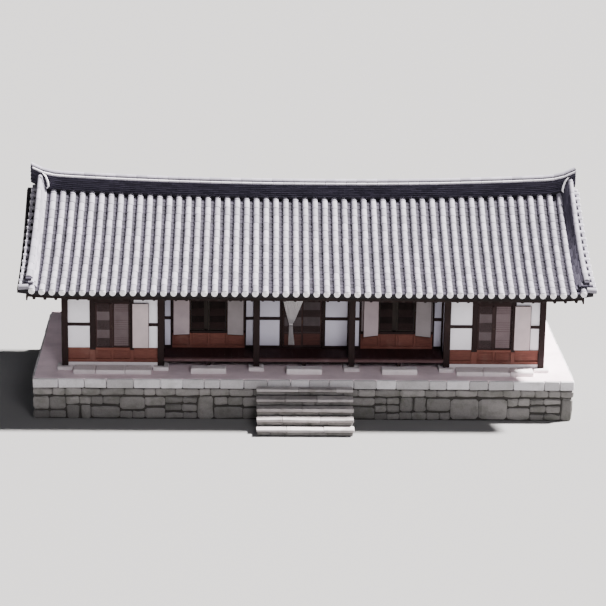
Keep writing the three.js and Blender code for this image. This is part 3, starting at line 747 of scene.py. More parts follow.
@dataclass
class Piece:
    """One visible object: its form, finish, body and what it stands for."""

    name: str
    form: Form
    finish: Finish
    slot: str
    replaces: Sequence[str] = ()
    body: str = "house"
    smooth: bool = False

    def make(self) -> bpy.types.Object:
        """Puts the arrays into a mesh, with the polygons group by group.

        Returns:
            The object, riding on its body.
        """
        points = (self.form.points + HOUSE_ORIGIN).astype(np.float32)
        corners = np.concatenate([group.ravel() for group in self.form.faces])
        sizes = np.concatenate([np.full(len(group), group.shape[1]) for group in self.form.faces])
        mesh = bpy.data.meshes.new(self.name)
        mesh.vertices.add(len(points))
        mesh.vertices.foreach_set("co", points.ravel())
        mesh.loops.add(len(corners))
        mesh.loops.foreach_set("vertex_index", corners.astype(np.int32))
        mesh.polygons.add(len(sizes))
        mesh.polygons.foreach_set("loop_start", np.concatenate([[0], np.cumsum(sizes)[:-1]]).astype(np.int32))
        mesh.polygons.foreach_set("use_smooth", np.full(len(sizes), self.smooth))
        for name, kind, key, values in (
            ("own", "FLOAT_VECTOR", "vector", self.form.own),
            ("tint", "FLOAT", "value", self.form.tint),
        ):
            mesh.attributes.new(name, kind, "POINT").data.foreach_set(key, values.astype(np.float32).ravel())
        mesh.update(calc_edges=True)
        if self.smooth:
            mesh.set_sharp_from_angle(angle=np.radians(50))
        mesh.materials.append(self.finish.material())
        made = bpy.data.objects.new(self.name, mesh)
        bpy.context.scene.collection.objects.link(made)
        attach(made, self.body)
        if self.replaces:
            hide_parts(*self.replaces)
        LOG.info("%s: %d points, %d faces", self.name, len(points), len(sizes))
        return made


# Roof


@dataclass(frozen=True)
class RoofShape:
    """The front slope's tiled surface, as the CAD model's clay bed has it."""

    half: float = 7.95
    eave: float = 1.25
    eave_top: float = 2.6
    eave_slope: float = 0.36
    seat_half: float = 0.15
    seat_rise: float = 1.81
    end_rise: float = 0.23
    corner_lift: float = 0.09
    rafter_seat: float = 2.76
    rafter_slopes: Span = (0.4, 0.66)
    knee: float = 1.2

    @property
    def run(self) -> float:
        """Plan length of the slope, from the eave to the ridge's foot."""
        return RIDGE_Y - self.seat_half + self.eave

    def share(self, y: Array) -> Array:
        """How far up the slope depths lie, from 0 at the eave to 1 at the ridge's foot."""
        return np.clip((y + self.eave) / self.run, 0, 1)

    def lift(self, x: Array, y: Array) -> Array:
        """How far the eave is raised past the end columns, with both squares of its share."""
        past = np.clip((np.abs(x) - END_X) / (self.half - END_X), 0, None)
        return self.corner_lift * past**2 * (np.clip(-y, 0, None) / self.eave) ** 2

    def top(self, x: Array, y: Array) -> Array:
        """Height of the tiled surface: a parabola in y, raised towards the ridge's ends.

        Args:
            x: Places along the front.
            y: Places in depth.

        Returns:
            Heights above the podium.
        """
        s = np.minimum(y + self.eave, self.run)
        curve = (self.seat_rise - self.eave_slope * self.run) / self.run**2
        sag = self.eave_top + self.eave_slope * s + curve * s**2
        rise = self.end_rise * (np.abs(x) / self.half) ** 2.2
        return sag + rise * (s / self.run) ** 2 + self.lift(x, y)

    def length(self) -> float:
        """Length of the slope along its surface."""
        return float(self._arc()[1][-1])

    def _arc(self) -> tuple[Array, Array]:
        """Plan places and the lengths of surface up to them, from the eave."""
        y = np.linspace(-self.eave, self.run - self.eave, 200)
        return y, np.concatenate([[0], np.hypot(np.diff(y), np.diff(self.top(0 * y, y))).cumsum()])

    def on(self, flat: Array) -> Array:
        """Lays unrolled points on the slope.

        Args:
            flat: Points as x, length along the slope from the eave, and height over the surface.

        Returns:
            Points in the house's frame, with the height taken square to the slope.
        """
        y, arc = self._arc()
        x, s, up = flat.T
        past = np.minimum(s, 0) + np.maximum(s - arc[-1], 0)
        place = np.interp(s, arc, y) + past * 0.9
        slope = (self.top(x, place + 0.01) - self.top(x, place - 0.01)) / 0.02
        size = np.hypot(1, slope)
        return np.stack([x, place - up * slope / size, self.top(x, place) + up / size], 1)

    def rafter_low(self, y: Array) -> Array:
        """Underside of the rafters, steeper above the knee."""
        low, high = self.rafter_slopes
        return self.rafter_seat + low * np.minimum(y, self.knee) + high * np.maximum(y - self.knee, 0)


ROOF = RoofShape()


@dataclass
class Slope:
    """One slope's tiles: channels painted near-black as the shade between the covers, pale half-round covers
    and their round ends at the eave.
    """

    side: str
    pitch: float = 0.2812
    widening: float = 0.0001
    last_row: int = 26
    verge_rows: Span = (-7.52, 7.65)
    spread: float = 1.0036
    shift: float = -0.002
    gather: float = 0.0070
    drift: float = 0.037
    cover_step: float = 0.30
    cover_radius: float = 0.089
    cover_rise: float = 0.88
    end_radius: float = 0.087
    end_ys: Sequence[float] = (-1.20, -1.316, -1.328)
    channel_step: float = 0.15
    channel_half: float = 0.128
    channel_dish: float = 0.048
    lap: float = 0.02
    seed: int = 11

    def _rows(self) -> Array:
        """Places of the cover rows, a little wider apart to the right, and of those under the verges."""
        i = np.arange(-self.last_row, self.last_row + 1)
        return np.array([self.verge_rows[0], *(self.pitch * i + self.widening * i**2), self.verge_rows[1]])

    def _lean(self, form: Form) -> Form:
        """Draws the rows together by 0.7 % towards the ridge, where they also stand 37 mm to the right."""
        x, share = form.points[:, 0], ROOF.share(form.points[:, 1])
        return form.with_axis(0, x * (self.spread - self.gather * share) + self.shift + self.drift * share)

    def _feet(self, rows: Array, step: float, start: float, seed: int) -> Array:
        """Feet of the tiles in every row, a few millimetres out of true.

        Args:
            rows: Places of the rows along the front.
            step: Exposed length of a tile.
            start: Place of the first tile along the slope.
            seed: Seed of the scatter.

        Returns:
            Places along the front, along the slope and over it, one row a tile.
        """
        steps = np.arange(start, ROOF.length() - 0.02, step)
        x, s = (a.ravel() for a in np.meshgrid(rows, steps, indexing="ij"))
        scatter = np.random.default_rng(seed).uniform(-0.004, 0.004, (2, len(x)))
        return np.stack([x + scatter[0], s + scatter[1], 0 * x], 1)

    def _covers(self) -> Form:
        """Half-round tiles: a low arch, a little wider at its lower end.

        Returns:
            The covers, unrolled.
        """
        feet = self._feet(self._rows(), self.cover_step, -0.05, self.seed)
        along = np.array([0, 0.012, self.cover_step + self.lap])
        radius = np.array([-0.004, 0, -0.007]) + self.cover_radius
        section = arch(radius, 1.0, np.array([0.024, 0.024, 0.015]), self.cover_rise)
        return copies(feet, along, section, ACROSS, self.seed)

    def _channels(self) -> Form:
        """Dished tiles: a parabola across, each lower end raised over the tile below it.

        Returns:
            The channels, unrolled.
        """
        rows = self._rows()
        feet = self._feet((rows[:-1] + rows[1:]) / 2, self.channel_step, -0.03, self.seed + 1)
        share = np.linspace(-1, 1, 7)
        top = np.stack([share * self.channel_half, self.channel_dish * share**2], 1)
        under = [(self.channel_half, -0.012), (-self.channel_half, -0.012)]
        section = np.broadcast_to(np.concatenate([top, under]), (2, 9, 2)).copy()
        raised = np.array([0.017, 0.007])
        section[:, :7, 1] += raised[:, None]
        return copies(feet, np.array([0, self.channel_step + self.lap]), section, ACROSS, self.seed + 1)

    def _ends(self) -> Form:
        """Round lime ends of the lowest covers, which hang before the clay bed's face.

        Returns:
            The ends, in the front slope's place.
        """
        rows = self._rows()[:, None]
        height = ROOF.top(rows, -ROOF.eave + 0 * rows) - 0.010
        paths = np.stack(np.broadcast_arrays(rows, np.array(self.end_ys), height), -1)
        return runs(paths, self.end_radius - np.array([0, 0, 0.022]), X_AXIS, 14, self.seed + 2)

    def build(self) -> None:
        """Makes the slope's three pieces and dresses its clay bed in near-black painted shade."""
        for name, form, finish, smooth in (
            ("cover_tiles", self._covers().changed(ROOF.on), Finish.COVER_TILE, True),
            ("channel_tiles", self._channels().changed(ROOF.on), Finish.SHADED_CHANNEL_TILE, False),
            ("eave_ends", self._ends(), Finish.ROOF_LIME, True),
        ):
            placed = on_side(self._lean(form), self.side)
            Piece(f"{self.side}_{name}", placed, finish, "roof_tile", smooth=smooth).make()
        dress(f"{self.side}_roof", Finish.SHADED_BED)


def dress(node: str, finish: Finish) -> None:
    """Gives a CAD node that stays in view its finish.

    Args:
        node: The node's name.
        finish: Its finish.
    """
    target = frame["nodes"][node]
    target.data.materials.clear()
    target.data.materials.append(finish.material())
    LOG.info("%s: dressed as %s", node, finish.name)


@dataclass
class MainRidge:
    """The main ridge: courses of flat tiles darkened with painted shade, a pale string course and a
    half-round cap.
    """

    height: float = 0.59
    half: float = 7.85
    foot: float = 0.06
    courses: int = 7
    course_height: float = 0.054
    bed: float = 0.016
    reach: float = 0.148
    step_in: float = 0.005
    tile_length: float = 0.30
    joint: float = 0.006
    string_high: float = 0.492
    string_reach: float = 0.168
    core_half: float = 0.104
    core_blocks: int = 52
    cap_radius: float = 0.084
    cap_turn: float = 1.15
    tip: float = 0.22
    tip_start: float = 6.9

    def _seat(self, form: Form) -> Form:
        """Raises straight courses onto the ridge's sagging line, with the tips turned up.

        Args:
            form: A form made on a straight ridge at height 0.

        Returns:
            The form in its place.
        """
        x, _, z = form.points.T
        past = np.clip((np.abs(x) - self.tip_start) / (self.half - self.tip_start), 0, 1)
        return form.with_axis(2, z + (ROOF.top(x, np.full_like(x, RIDGE_Y)) + self.tip * past**2.5))

    def _course(self, zs: Span, reach: float, shift: float, seed: int) -> Form:
        """One course of flat tiles on both faces.

        Args:
            zs: Its foot and its top.
            reach: How far it stands out from the ridge's middle.
            shift: Place of its first joint.
            seed: Seed of the tiles' tones.

        Returns:
            The course, straight.
        """
        starts = np.arange(-self.half + shift, self.half - 0.02, self.tile_length)
        ends = np.minimum(starts + self.tile_length - self.joint, self.half)
        faces = ((RIDGE_Y - reach, RIDGE_Y - 0.04), (RIDGE_Y + 0.04, RIDGE_Y + reach))
        return beams([((a, b), ys, zs) for ys in faces for a, b in zip(starts, ends)], 0.006, seed)

    def _dark(self) -> Form:
        """The dark courses, stepped in towards the top.

        Returns:
            The courses, straight.
        """
        lows = self.foot + np.arange(self.courses) * self.course_height
        stack = []
        for i, low in enumerate(lows):
            zs = (low + self.bed, low + self.course_height)
            shift = (i % 2) * self.tile_length / 2
            stack.append(self._course(zs, self.reach - self.step_in * i, shift, 40 + i))
        return Form.together(stack)

    def _core(self) -> Form:
        """The clay between the courses, a little behind the tiles' faces, painted near-black as shade in the
        recess.

        Returns:
            The core, straight.
        """
        starts = np.linspace(-self.half + 0.01, self.half - 0.31, self.core_blocks)
        section = about(RIDGE_Y, self.core_half), (0, self.string_high + 0.02)
        return beams([((a, a + 0.304), *section) for a in starts], 0, 60)

    def _cap(self) -> Form:
        """Half-round cap tiles, each with a raised lip at its outer end.

        Returns:
            The cap, straight.
        """
        starts = np.arange(0, self.half - 0.05, self.tile_length)
        feet = np.stack([starts, 0 * starts + RIDGE_Y, 0 * starts], 1)
        along = np.array([0, self.tile_length - 0.02, self.tile_length + 0.012])
        radius = np.array([-0.008, 0, -0.004]) + self.cap_radius
        half = copies(feet, along, arch(radius, -self.cap_turn, self.height - self.cap_radius), ALONG, 61)
        limited = half.with_axis(0, np.minimum(half.points[:, 0], self.half + 0.02))
        return Form.together([limited, limited.flipped(0)])

    def build(self) -> None:
        """Makes the ridge's four pieces; the courses stand for the CAD ridge."""
        string_low = self.foot + self.courses * self.course_height + 0.006
        string = self._course((string_low, self.string_high), self.string_reach, 0.07, 49)
        for part, form, finish, stands_for in (
            ("courses", self._dark(), Finish.RIDGE_TILE, ["main_ridge"]),
            ("string_course", string, Finish.STRING_TILE, []),
            ("core", self._core(), Finish.SHADED_CHANNEL_TILE, []),
            ("cap", self._cap(), Finish.COVER_TILE, []),
        ):
            seated = self._seat(form)
            Piece(f"main_ridge_{part}", seated, finish, "roof_tile", stands_for, smooth=part == "cap").make()


@dataclass
class Verge:
    """A gable edge of one slope: its ridge, and the short tiles that point outwards under it.

    The verge ridge is worked out straight and 1 m high, and _seat() bends it over the slope's edge.
    """

    side: str
    end: str
    inner: float = 7.40
    middle: float = 7.63
    outer: float = 7.74
    roof_shift: float = 0.065
    flare: float = 0.10
    eave_height: float = 0.30
    ridge_height: float = 0.54
    courses: int = 4
    course_pitch: float = 0.18
    first_course: Span = (0.06, 0.225)
    tile_pitch: float = 0.29
    joint: float = 0.006
    cap_radius: float = 0.070
    cap_foot: float = 0.79
    cap_turn: float = 1.1
    cap_rise: float = 2.6
    stubs: int = 15
    stub_radius: float = 0.088

    @property
    def crest(self) -> float:
        """Distance of the verge's middle from the house's, at the ridge; the roof lies 65 mm to the right."""
        return self.middle + (self.roof_shift if self.end == "right" else -self.roof_shift)

    def _turn(self, form: Form) -> Form:
        """Moves a form made for the front right verge to this one."""
        return on_side(form if self.end == "right" else form.flipped(0), self.side)

    def _flared(self, points: Array) -> Array:
        """The x of points that move outwards towards the eave, all but the verge's inner foot."""
        moved = np.clip((points[:, 0] - self.inner) / (self.crest - self.inner), 0, 1)
        return points[:, 0] + self.flare * (1 - ROOF.share(points[:, 1])) * moved

    def _seat(self, points: Array) -> Array:
        """Bends the straight stack over the slope's edge, higher towards the ridge.

        Args:
            points: Points of the straight stack.

        Returns:
            The points in the front right place.
        """
        x, y, up = points.T
        height = self.eave_height + (self.ridge_height - self.eave_height) * ROOF.share(y) ** 2
        foot = np.maximum(ROOF.top(0 * x + self.inner, y), ROOF.top(0 * x + self.outer, y))
        return np.column_stack([self._flared(points), y, foot + up * height])

    def _battered(self, form: Form) -> Form:
        """Leans the inner face back to the cap over the stack's height; the far side stays.

        Args:
            form: The inner courses.

        Returns:
            The leaning courses.
        """
        x, _, up = form.points.T
        inside = np.clip((self.crest - x) / (self.crest - self.inner), 0, 1)
        reach = self.crest - self.cap_radius - self.inner
        return form.with_axis(0, x + reach * np.clip(up / 0.78, 0, 1) * inside)

    @property
    def _tiles(self) -> Array:
        """Middles of the lowest course's tiles, from the eave to the ridge."""
        return np.arange(-ROOF.eave + 0.235, RIDGE_Y - 0.12, self.tile_pitch)

    def _courses(self) -> tuple[Form, Form]:
        """Flat tiles on both faces, every second course half a tile further on.

        Returns:
            The inner courses, leaning back, and the outer ones.
        """
        inward, outward = [], []
        half = self.tile_pitch / 2
        for level in range(self.courses):
            zs = tuple(z + level * self.course_pitch for z in self.first_course)
            shift = (level % 2) * half
            spans = [(y + shift - half, y + shift + half - self.joint) for y in self._tiles]
            outer = (self.crest + 0.01, self.crest + 0.07 - 0.005 * level)
            inward.append(beams([((self.inner, self.crest - 0.01), y, zs) for y in spans], 0.008, 70 + level))
            outward.append(beams([(outer, y, zs) for y in spans], 0.008, 74 + level))
        return self._battered(Form.together(inward)), Form.together(outward)

    def _core_and_cap(self) -> tuple[Form, Form]:
        """The clay between the courses, painted near-black as shade, and a half-round tile over each of its
        blocks.

        Returns:
            The core and the cap.
        """
        ys = self._tiles
        core = [(about(self.crest, 0.06), (y - 0.12, y + 0.18), (-0.1, 0.82)) for y in ys]
        feet = np.stack([0 * ys + self.crest, ys - 0.02, 0 * ys], 1)
        radius = np.array([-0.004, 0, -0.010]) + self.cap_radius
        section = arch(radius, self.cap_turn, self.cap_foot, self.cap_rise)
        return beams(core, 0, 75), copies(feet, np.array([-0.012, 0.02, 0.30]), section, ACROSS, 76)

    def _stubs(self) -> tuple[Form, Form, Form]:
        """Short cover tiles pointing outwards, closer together towards the ridge.

        Returns:
            The tiles, their round lime ends and the lips of the channel tiles between them,
            in the front right place.
        """
        share = (np.arange(self.stubs + 1) / self.stubs) ** 1.12
        s = ROOF.length() - 0.03 - (ROOF.length() - 0.11) * share
        start, end = self.crest + 0.04, self.crest + 0.245
        foot = ROOF.on(np.stack([0 * s + start, s, 0 * s + 0.045], 1))
        foot[:, 0] = self._flared(foot)
        out = np.array([1.0, 0.0, -0.06])

        def carried(stations: Sequence[float], radius: Sequence[float], seed: int) -> Form:
            """Round members outwards from each foot, with a radius at each station."""
            paths = foot[:, None] + np.asarray(stations)[None, :, None] * out
            return runs(paths, np.asarray(radius), Y_AXIS, 12, seed)

        r, reach = self.stub_radius, end - start
        tiles = carried([-0.06, reach - 0.012, reach], [r - 0.008, r, r - 0.003], 80)
        ends = carried([reach - 0.02, reach + 0.006, reach + 0.012], [r - 0.008, r - 0.008, r - 0.03], 81)
        boxes = [((end - 0.085, end - 0.004), about(m, 0.085), (0.015, 0.095)) for m in (s[1:] + s[:-1]) / 2]
        lips = beams(boxes, 0.012, 82).changed(ROOF.on)
        return tiles, ends, lips.with_axis(0, self._flared(lips.points))

    def _fillet(self) -> Form:
        """A bead of lime that seals the verge's inner face to the main ridge, hooked at its foot.

        Returns:
            The bead.
        """
        drop = np.array([0.0, 0.10, 0.25, 0.38, 0.45])
        inwards = np.array([0.0, 0.085, 0.14, 0.155, 0.11])
        path = np.column_stack([self.crest - 0.08 - inwards, 2.15 + 0 * drop, 5.15 - drop])
        steps = np.linspace(0, 1, 13)
        fine = np.column_stack([np.interp(steps, np.linspace(0, 1, 5), path[:, axis]) for axis in range(3)])
        return runs(fine[None], 0.028 - 0.018 * np.abs(2 * steps - 1) ** 3, Y_AXIS, 12, 83)

    def build(self) -> None:
        """Makes the verge's pieces; the inner courses stand for the CAD verge ridge."""
        name = f"{self.side}_{self.end}_verge"
        stack = (*self._courses(), *self._core_and_cap())
        inward, outward, core, cap = (form.changed(self._seat) for form in stack)
        tiles, ends, lips = self._stubs()
        # The right verges' inner courses take the darker copy of the cover tile, painted shade; the left ones
        # keep the cover tile.
        shaded = Finish.SHADED_VERGE_TILE if self.end == "right" else Finish.COVER_TILE
        for part, form, finish, smooth in (
            ("inner_courses", inward, shaded, False),
            ("outer_courses", outward, Finish.RIDGE_TILE, False),
            ("core", core, Finish.SHADED_CHANNEL_TILE, False),
            ("cap", cap, Finish.COVER_TILE, True),
            ("stub_tiles", tiles, Finish.COVER_TILE, True),
            ("stub_lips", lips, Finish.COVER_TILE, False),
            ("lime_ends", ends, Finish.ROOF_LIME, True),
            ("fillet", self._fillet(), Finish.ROOF_LIME, True),
        ):
            stands_for = [f"{name}_ridge"] if part == "inner_courses" else []
            Piece(f"{name}_{part}", self._turn(form), finish, "roof_tile", stands_for, smooth=smooth).make()


@dataclass
class Rafters:
    """One slope's round rafters in two lengths, the eave board and the middle purlin, painted near-black as
    shade under the eave.
    """

    side: str
    pitch: float = 0.3
    last: int = 25
    radius: float = 0.054
    end: float = 1.15
    purlin_height: float = 3.14
    purlin_radius: float = 0.095
    board: Box = ((-1, 1), (-1.15, -1.08), (2.374, 2.466))

    def _path(self, ys: Sequence[float]) -> Array:
        """The rafters' middle lines, as the CAD rafters have them, with the eave's lift at the ends.

        Args:
            ys: Depths that each line passes.

        Returns:
            Points [rafter, station, axis].
        """
        rows = np.arange(-self.last, self.last + 1)[:, None] * self.pitch
        x, y = np.broadcast_arrays(rows, np.array(ys))
        return np.stack([x, y, ROOF.rafter_low(y) + 0.06 + ROOF.lift(np.abs(x) - 0.15, y)], -1)

    def _board(self) -> Form:
        """The eave board in short lengths, which follow the eave's lift.

        Returns:
            The board.
        """
        stations = np.linspace(-BARGEBOARD_X, BARGEBOARD_X, 53)
        board = beams([(xs, *self.board[1:]) for xs in pairwise(stations)], 0, 93)
        x, y, z = board.points.T
        return board.with_axis(2, z + ROOF.lift(x, y))

    def build(self) -> None:
        """Makes one piece of the slope's rafters, purlin and eave board."""
        taper = [0.047, 0.05, 0.052, self.radius, self.radius]
        lower = runs(self._path([-self.end, -1.0, -0.5, 0.0, 1.3]), taper, X_AXIS, 10, 90)
        upper = runs(self._path([ROOF.knee, 1.8, 2.38]), self.radius, X_AXIS, 10, 91)
        line = [(x, ROOF.knee, self.purlin_height) for x in (-BARGEBOARD_X, 0, BARGEBOARD_X)]
        purlin = runs(np.array([line]), self.purlin_radius, Y_AXIS, 16, 92)
        form = on_side(Form.together([lower, upper, purlin, self._board()]), self.side)
        Piece(f"{self.side}_round_rafters", form, Finish.SHADED_RAFTER, "timber", [f"{self.side}_rafters"]).make()


# Podium and steps


def coursed(start: float, end: float, size: Span, seed: int, joint: float = 0.0) -> list[Span]:
    """Cuts a stretch into blocks of uneven size, with a joint between them.

    Args:
        start: Where the stretch begins.
        end: Where it ends.
        size: Least and greatest block.
        seed: Seed of the draw.
        joint: Width of a joint.

    Returns:
        The blocks' spans.
    """
    length = end - start
    cuts = np.random.default_rng(seed).uniform(*size, int(length / size[0]) + 2).cumsum()
    inside = cuts[cuts < length - size[0] * 0.6]
    ends = start + np.concatenate([[0], inside, [length]])
    return [(a + joint / 2, b - joint / 2) for a, b in pairwise(ends)]


@dataclass
class Podium:
    """The stone platform: pale edge stones over rough wall stones, an earth top, flat stones on it."""

    half: float = 7.6
    front: float = -0.95
    back: float = 5.7
    edge_low: float = -0.28
    second_low: float = -0.52
    dark_below: float = -0.7
    deep: float = 0.24
    joint: float = 0.012
    column_stone: float = 0.22
    ledge: Box = ((0.25, -0.25), (-0.56, -0.06), (-0.05, 0.12))
    stepping_stone: Box = ((-0.5, 0.5), (-0.48, -0.13), (-0.05, 0.15))

    def _box(self, side: int, along: Span, zs: Span, out: float = 0.0) -> Box:
        """A stone's spans in the wall of one side: 0 front, 1 back, 2 left, 3 right.

        Args:
            side: The side's number.
            along: The stone's span along the wall.
            zs: Its foot and top.
            out: How far it stands out.

        Returns:
            Its spans on x, y and z.
        """
        across = (
            (self.front - out, self.front + self.deep),
            (self.back - self.deep, self.back + out),
            (-self.half - out, -self.half + self.deep),
            (self.half - self.deep, self.half + out),
        )[side]
        return (along, across, zs) if side < 2 else (across, along, zs)

    def _cuts(self, side: int, size: Span, seed: int) -> list[Span]:
        """Cuts the length of one side, numbered as in _box(), into blocks."""
        ends = (-self.half, self.half) if side < 2 else (self.front + self.deep, self.back - self.deep)
        return coursed(*ends, size, seed + side, self.joint)

    def _course(self, low: float, high: float, size: Span, out: float, seed: int) -> list[Box]:
        """One course of blocks round all four sides.

        Args:
            low: The course's foot.
            high: Its top.
            size: Least and greatest block.
            out: How far it stands out.
            seed: Seed of the blocks' lengths.

        Returns:
            The blocks' spans.
        """
        zs = (low + 0.004, high)
        sides = [(side, along) for side in range(4) for along in self._cuts(side, size, seed)]
        return [self._box(side, along, zs, out) for side, along in sides]

    def _foot(self, seed: int) -> list[Box]:
        """The big stones of the wall's foot, in columns of one, two or three.

        A stone that is much wider than it is high may be split into two beside each other.

        Args:
            seed: Seed of the splits.

        Returns:
            The stones' spans.
        """
        draw = np.random.default_rng(seed)
        shares = ((1.0,), (0.53, 0.47), (0.38, 0.62), (0.33, 0.35, 0.32), (0.60, 0.40))
        made = []
        for side in range(4):
            for a, b in self._cuts(side, (0.45, 0.95), seed):
                split = shares[draw.integers(len(shares))]
                heights = -PODIUM_HEIGHT + np.cumsum((0.0, *split)) * (self.second_low + PODIUM_HEIGHT)
                for low, high in zip(heights[:-1] + 0.004, heights[1:] - 0.008):
                    middle = a + (b - a) * draw.uniform(0.4, 0.6)
                    parted = (b - a) / (high - low) > draw.uniform(1.5, 3.5)
                    spans = ((a, middle - 0.006), (middle + 0.006, b)) if parted else ((a, b),)
                    made += [self._box(side, along, (low, high)) for along in spans]
        return made

    def _block(self, inset: float, zs: Span) -> Box:
        """A block as large as the podium's plan, less an inset on all sides."""
        return about(0, self.half - inset), (self.front + inset, self.back - inset), zs

    def _flat_stones(self) -> tuple[Form, Form]:
        """The stones under the columns, and the ledges and stepping stones.

        Returns:
            The two kinds of stones.
        """
        lines = [(i, PORCH if 0 < i < BAYS else RIDGE_Y) for i in range(BAYS + 1)]
        feet = [(column_x(i), y) for i, inner in lines for y in (0, DEPTH, inner)]
        half = self.column_stone
        under = [(about(x, half), about(y, half), (-0.05, STONE_HEIGHT)) for x, y in feet]
        ledges = []
        (left, right), *section = self.ledge
        for bay in (0, BAYS - 1):
            spans = coursed(column_x(bay) + left, column_x(bay + 1) + right, (0.6, 0.9), 171 + bay, 0.01)
            ledges += [(xs, *section) for xs in spans]
        ledges += [moved(self.stepping_stone, column_x(bay) + BAY / 2) for bay in (1, 2, 3)]
        return stones(under, 0.03, 0.004, 170), stones(ledges, 0.02, 0.004, 172)

    def build(self) -> None:
        """Makes the core, the wall, the edge stones, the earth top and the flat stones."""
        core = beams([self._block(0.06, (-PODIUM_HEIGHT, -0.02))], 0.01, 100)
        foot = self._foot(110)
        second = self._course(self.second_low, self.edge_low - 0.008, (0.32, 0.80), 0.0, 130)
        wall = [
            rubble([box for box in foot if box[2][1] < self.dark_below], 111, (0.0, 0.55)),
            rubble([box for box in foot if box[2][1] >= self.dark_below], 112, (0.1, 0.8)),
            rubble(second, 113, (0.35, 1.0), 0.022),
        ]
        edge = stones(self._course(self.edge_low, -0.012, (0.43, 0.94), 0.02, 160), 0.022, 0.007, 161)
        top = beams([self._block(0.03, (-0.1, 0.0))], 0.012, 162)
        under, ledges = self._flat_stones()
        for name, form, finish, stands_for in (
            ("podium_core", core, Finish.MORTAR, ["stone_podium"]),
            ("podium_facing", Form.together(wall), Finish.FACING, []),
            ("podium_edge_stones", edge, Finish.EDGE, []),
            ("podium_earth_top", top, Finish.PODIUM_TOP, []),
            ("column_stones", under, Finish.LEDGE, []),
            ("ledge_stones", ledges, Finish.LEDGE, []),
        ):
            Piece(name, form, finish, "stone", stands_for).make()


@dataclass
class Steps:
    """The central flight: thick slabs with worn nosings over darker stones set back under them."""

    front: float = -0.95
    tread: float = 0.28
    riser: float = 0.2
    count: int = 5
    half: float = 1.35
    slab: float = 0.078
    slab_lap: float = 0.06
    nosing: float = 0.045
    stone_deep: float = 0.2

    def build(self) -> None:
        """Each step has two or three slabs, and more and smaller stones under their nosings."""
        slabs, under, cores = [], [], []
        inner = self.half - 0.02
        for i in range(1, self.count + 1):
            nose = self.front - i * self.tread
            back = nose + self.nosing
            top = -i * self.riser
            low = max(top - self.riser, -PODIUM_HEIGHT)
            deep = (nose, nose + self.tread + self.slab_lap)
            spans = coursed(-self.half, self.half, (0.7, 1.3), 180 + i, 0.008)
            slabs += [(xs, deep, (top - self.slab, top)) for xs in spans]
            deep = (back, back + self.stone_deep)
            spans = coursed(-inner, inner, (0.35, 0.8), 190 + i)
            under += [((a, b - 0.01), deep, (low, top - self.slab)) for a, b in spans]
            cores.append((about(0, inner - 0.02), (back + 0.1, self.front + 0.1), (low, top - 0.02)))
        form = stones(slabs, 0.022, 0.006, 181)
        Piece("step_slabs", form, Finish.STEP, "stone", ["front_steps"]).make()
        form = Form.together([rubble(under, 182, (0.1, 0.7), 0.02), beams(cores, 0.01, 183)])
        Piece("step_riser_stones", form, Finish.FACING, "stone").make()


# Timber frame


@dataclass
class Bent:
    """One line of columns with its crossbeam, struts, upper beam and king post."""

    index: int
    crossbeam: float = 0.16
    overhang: float = 0.17
    strut_y: float = 1.2
    strut_top: float = 2.88
    upper_beam: float = 0.15
    upper_top: float = 3.06
    king_top: float = 3.84
    rail: float = 0.11
    rails: Sequence[Span] = ((0.20, 0.29), (0.56, 0.62), (1.26, 1.35), (LINTEL_LOW, COLUMN_TOP))

    def build(self) -> None:
        """The members have the CAD bent's sizes, with eased edges."""
        x = column_x(self.index)
        gable = self.index in (0, BAYS)
        half = COLUMN / 2
        cross, upper, rail = (about(x, wide / 2) for wide in (self.crossbeam, self.upper_beam, self.rail))
        depths = (0, DEPTH, RIDGE_Y if gable else PORCH)
        boxes = [(about(x, half), about(y, half), (STONE_HEIGHT, COLUMN_TOP)) for y in depths]
        boxes.append((cross, (-self.overhang, DEPTH + self.overhang), (COLUMN_TOP, CROSSBEAM_TOP)))
        struts = (self.strut_y, DEPTH - self.strut_y)
        boxes += [(cross, about(y, self.crossbeam / 2), (CROSSBEAM_TOP, self.strut_top)) for y in struts]
        boxes.append((upper, (struts[0] - 0.12, struts[1] + 0.12), (self.strut_top, self.upper_top)))
        boxes.append((upper, about(RIDGE_Y, 0.09), (self.upper_top, self.king_top)))
        if gable:
            clear = half - 0.01
            boxes += [(rail, (clear, RIDGE_Y - clear), zs) for zs in self.rails]
            boxes += [(rail, (RIDGE_Y + clear, DEPTH - clear), zs) for zs in self.rails]
        number = self.index + 1
        form = beams(boxes, 0.010, 200 + self.index)
        Piece(f"bent_{number}_timbers", form, Finish.SHADED_POST, "timber", [f"timber_bent_{number}"]).make()


def eave_timbers() -> list[Box]:
    """The eave purlin, and each bay's lintel and the board over it, for the front line at y = 0.

    Returns:
        Their spans.
    """
    half = COLUMN / 2
    boxes = [(about(0, BARGEBOARD_X), about(0, half), (CROSSBEAM_TOP, 2.735))]
    for bay in range(BAYS):
        clear = (column_x(bay) + half, column_x(bay + 1) - half)
        boxes.append((clear, about(0, 0.06), (LINTEL_LOW, COLUMN_TOP)))
        boxes.append((clear, about(0, 0.045), (COLUMN_TOP, CROSSBEAM_TOP)))
    return boxes


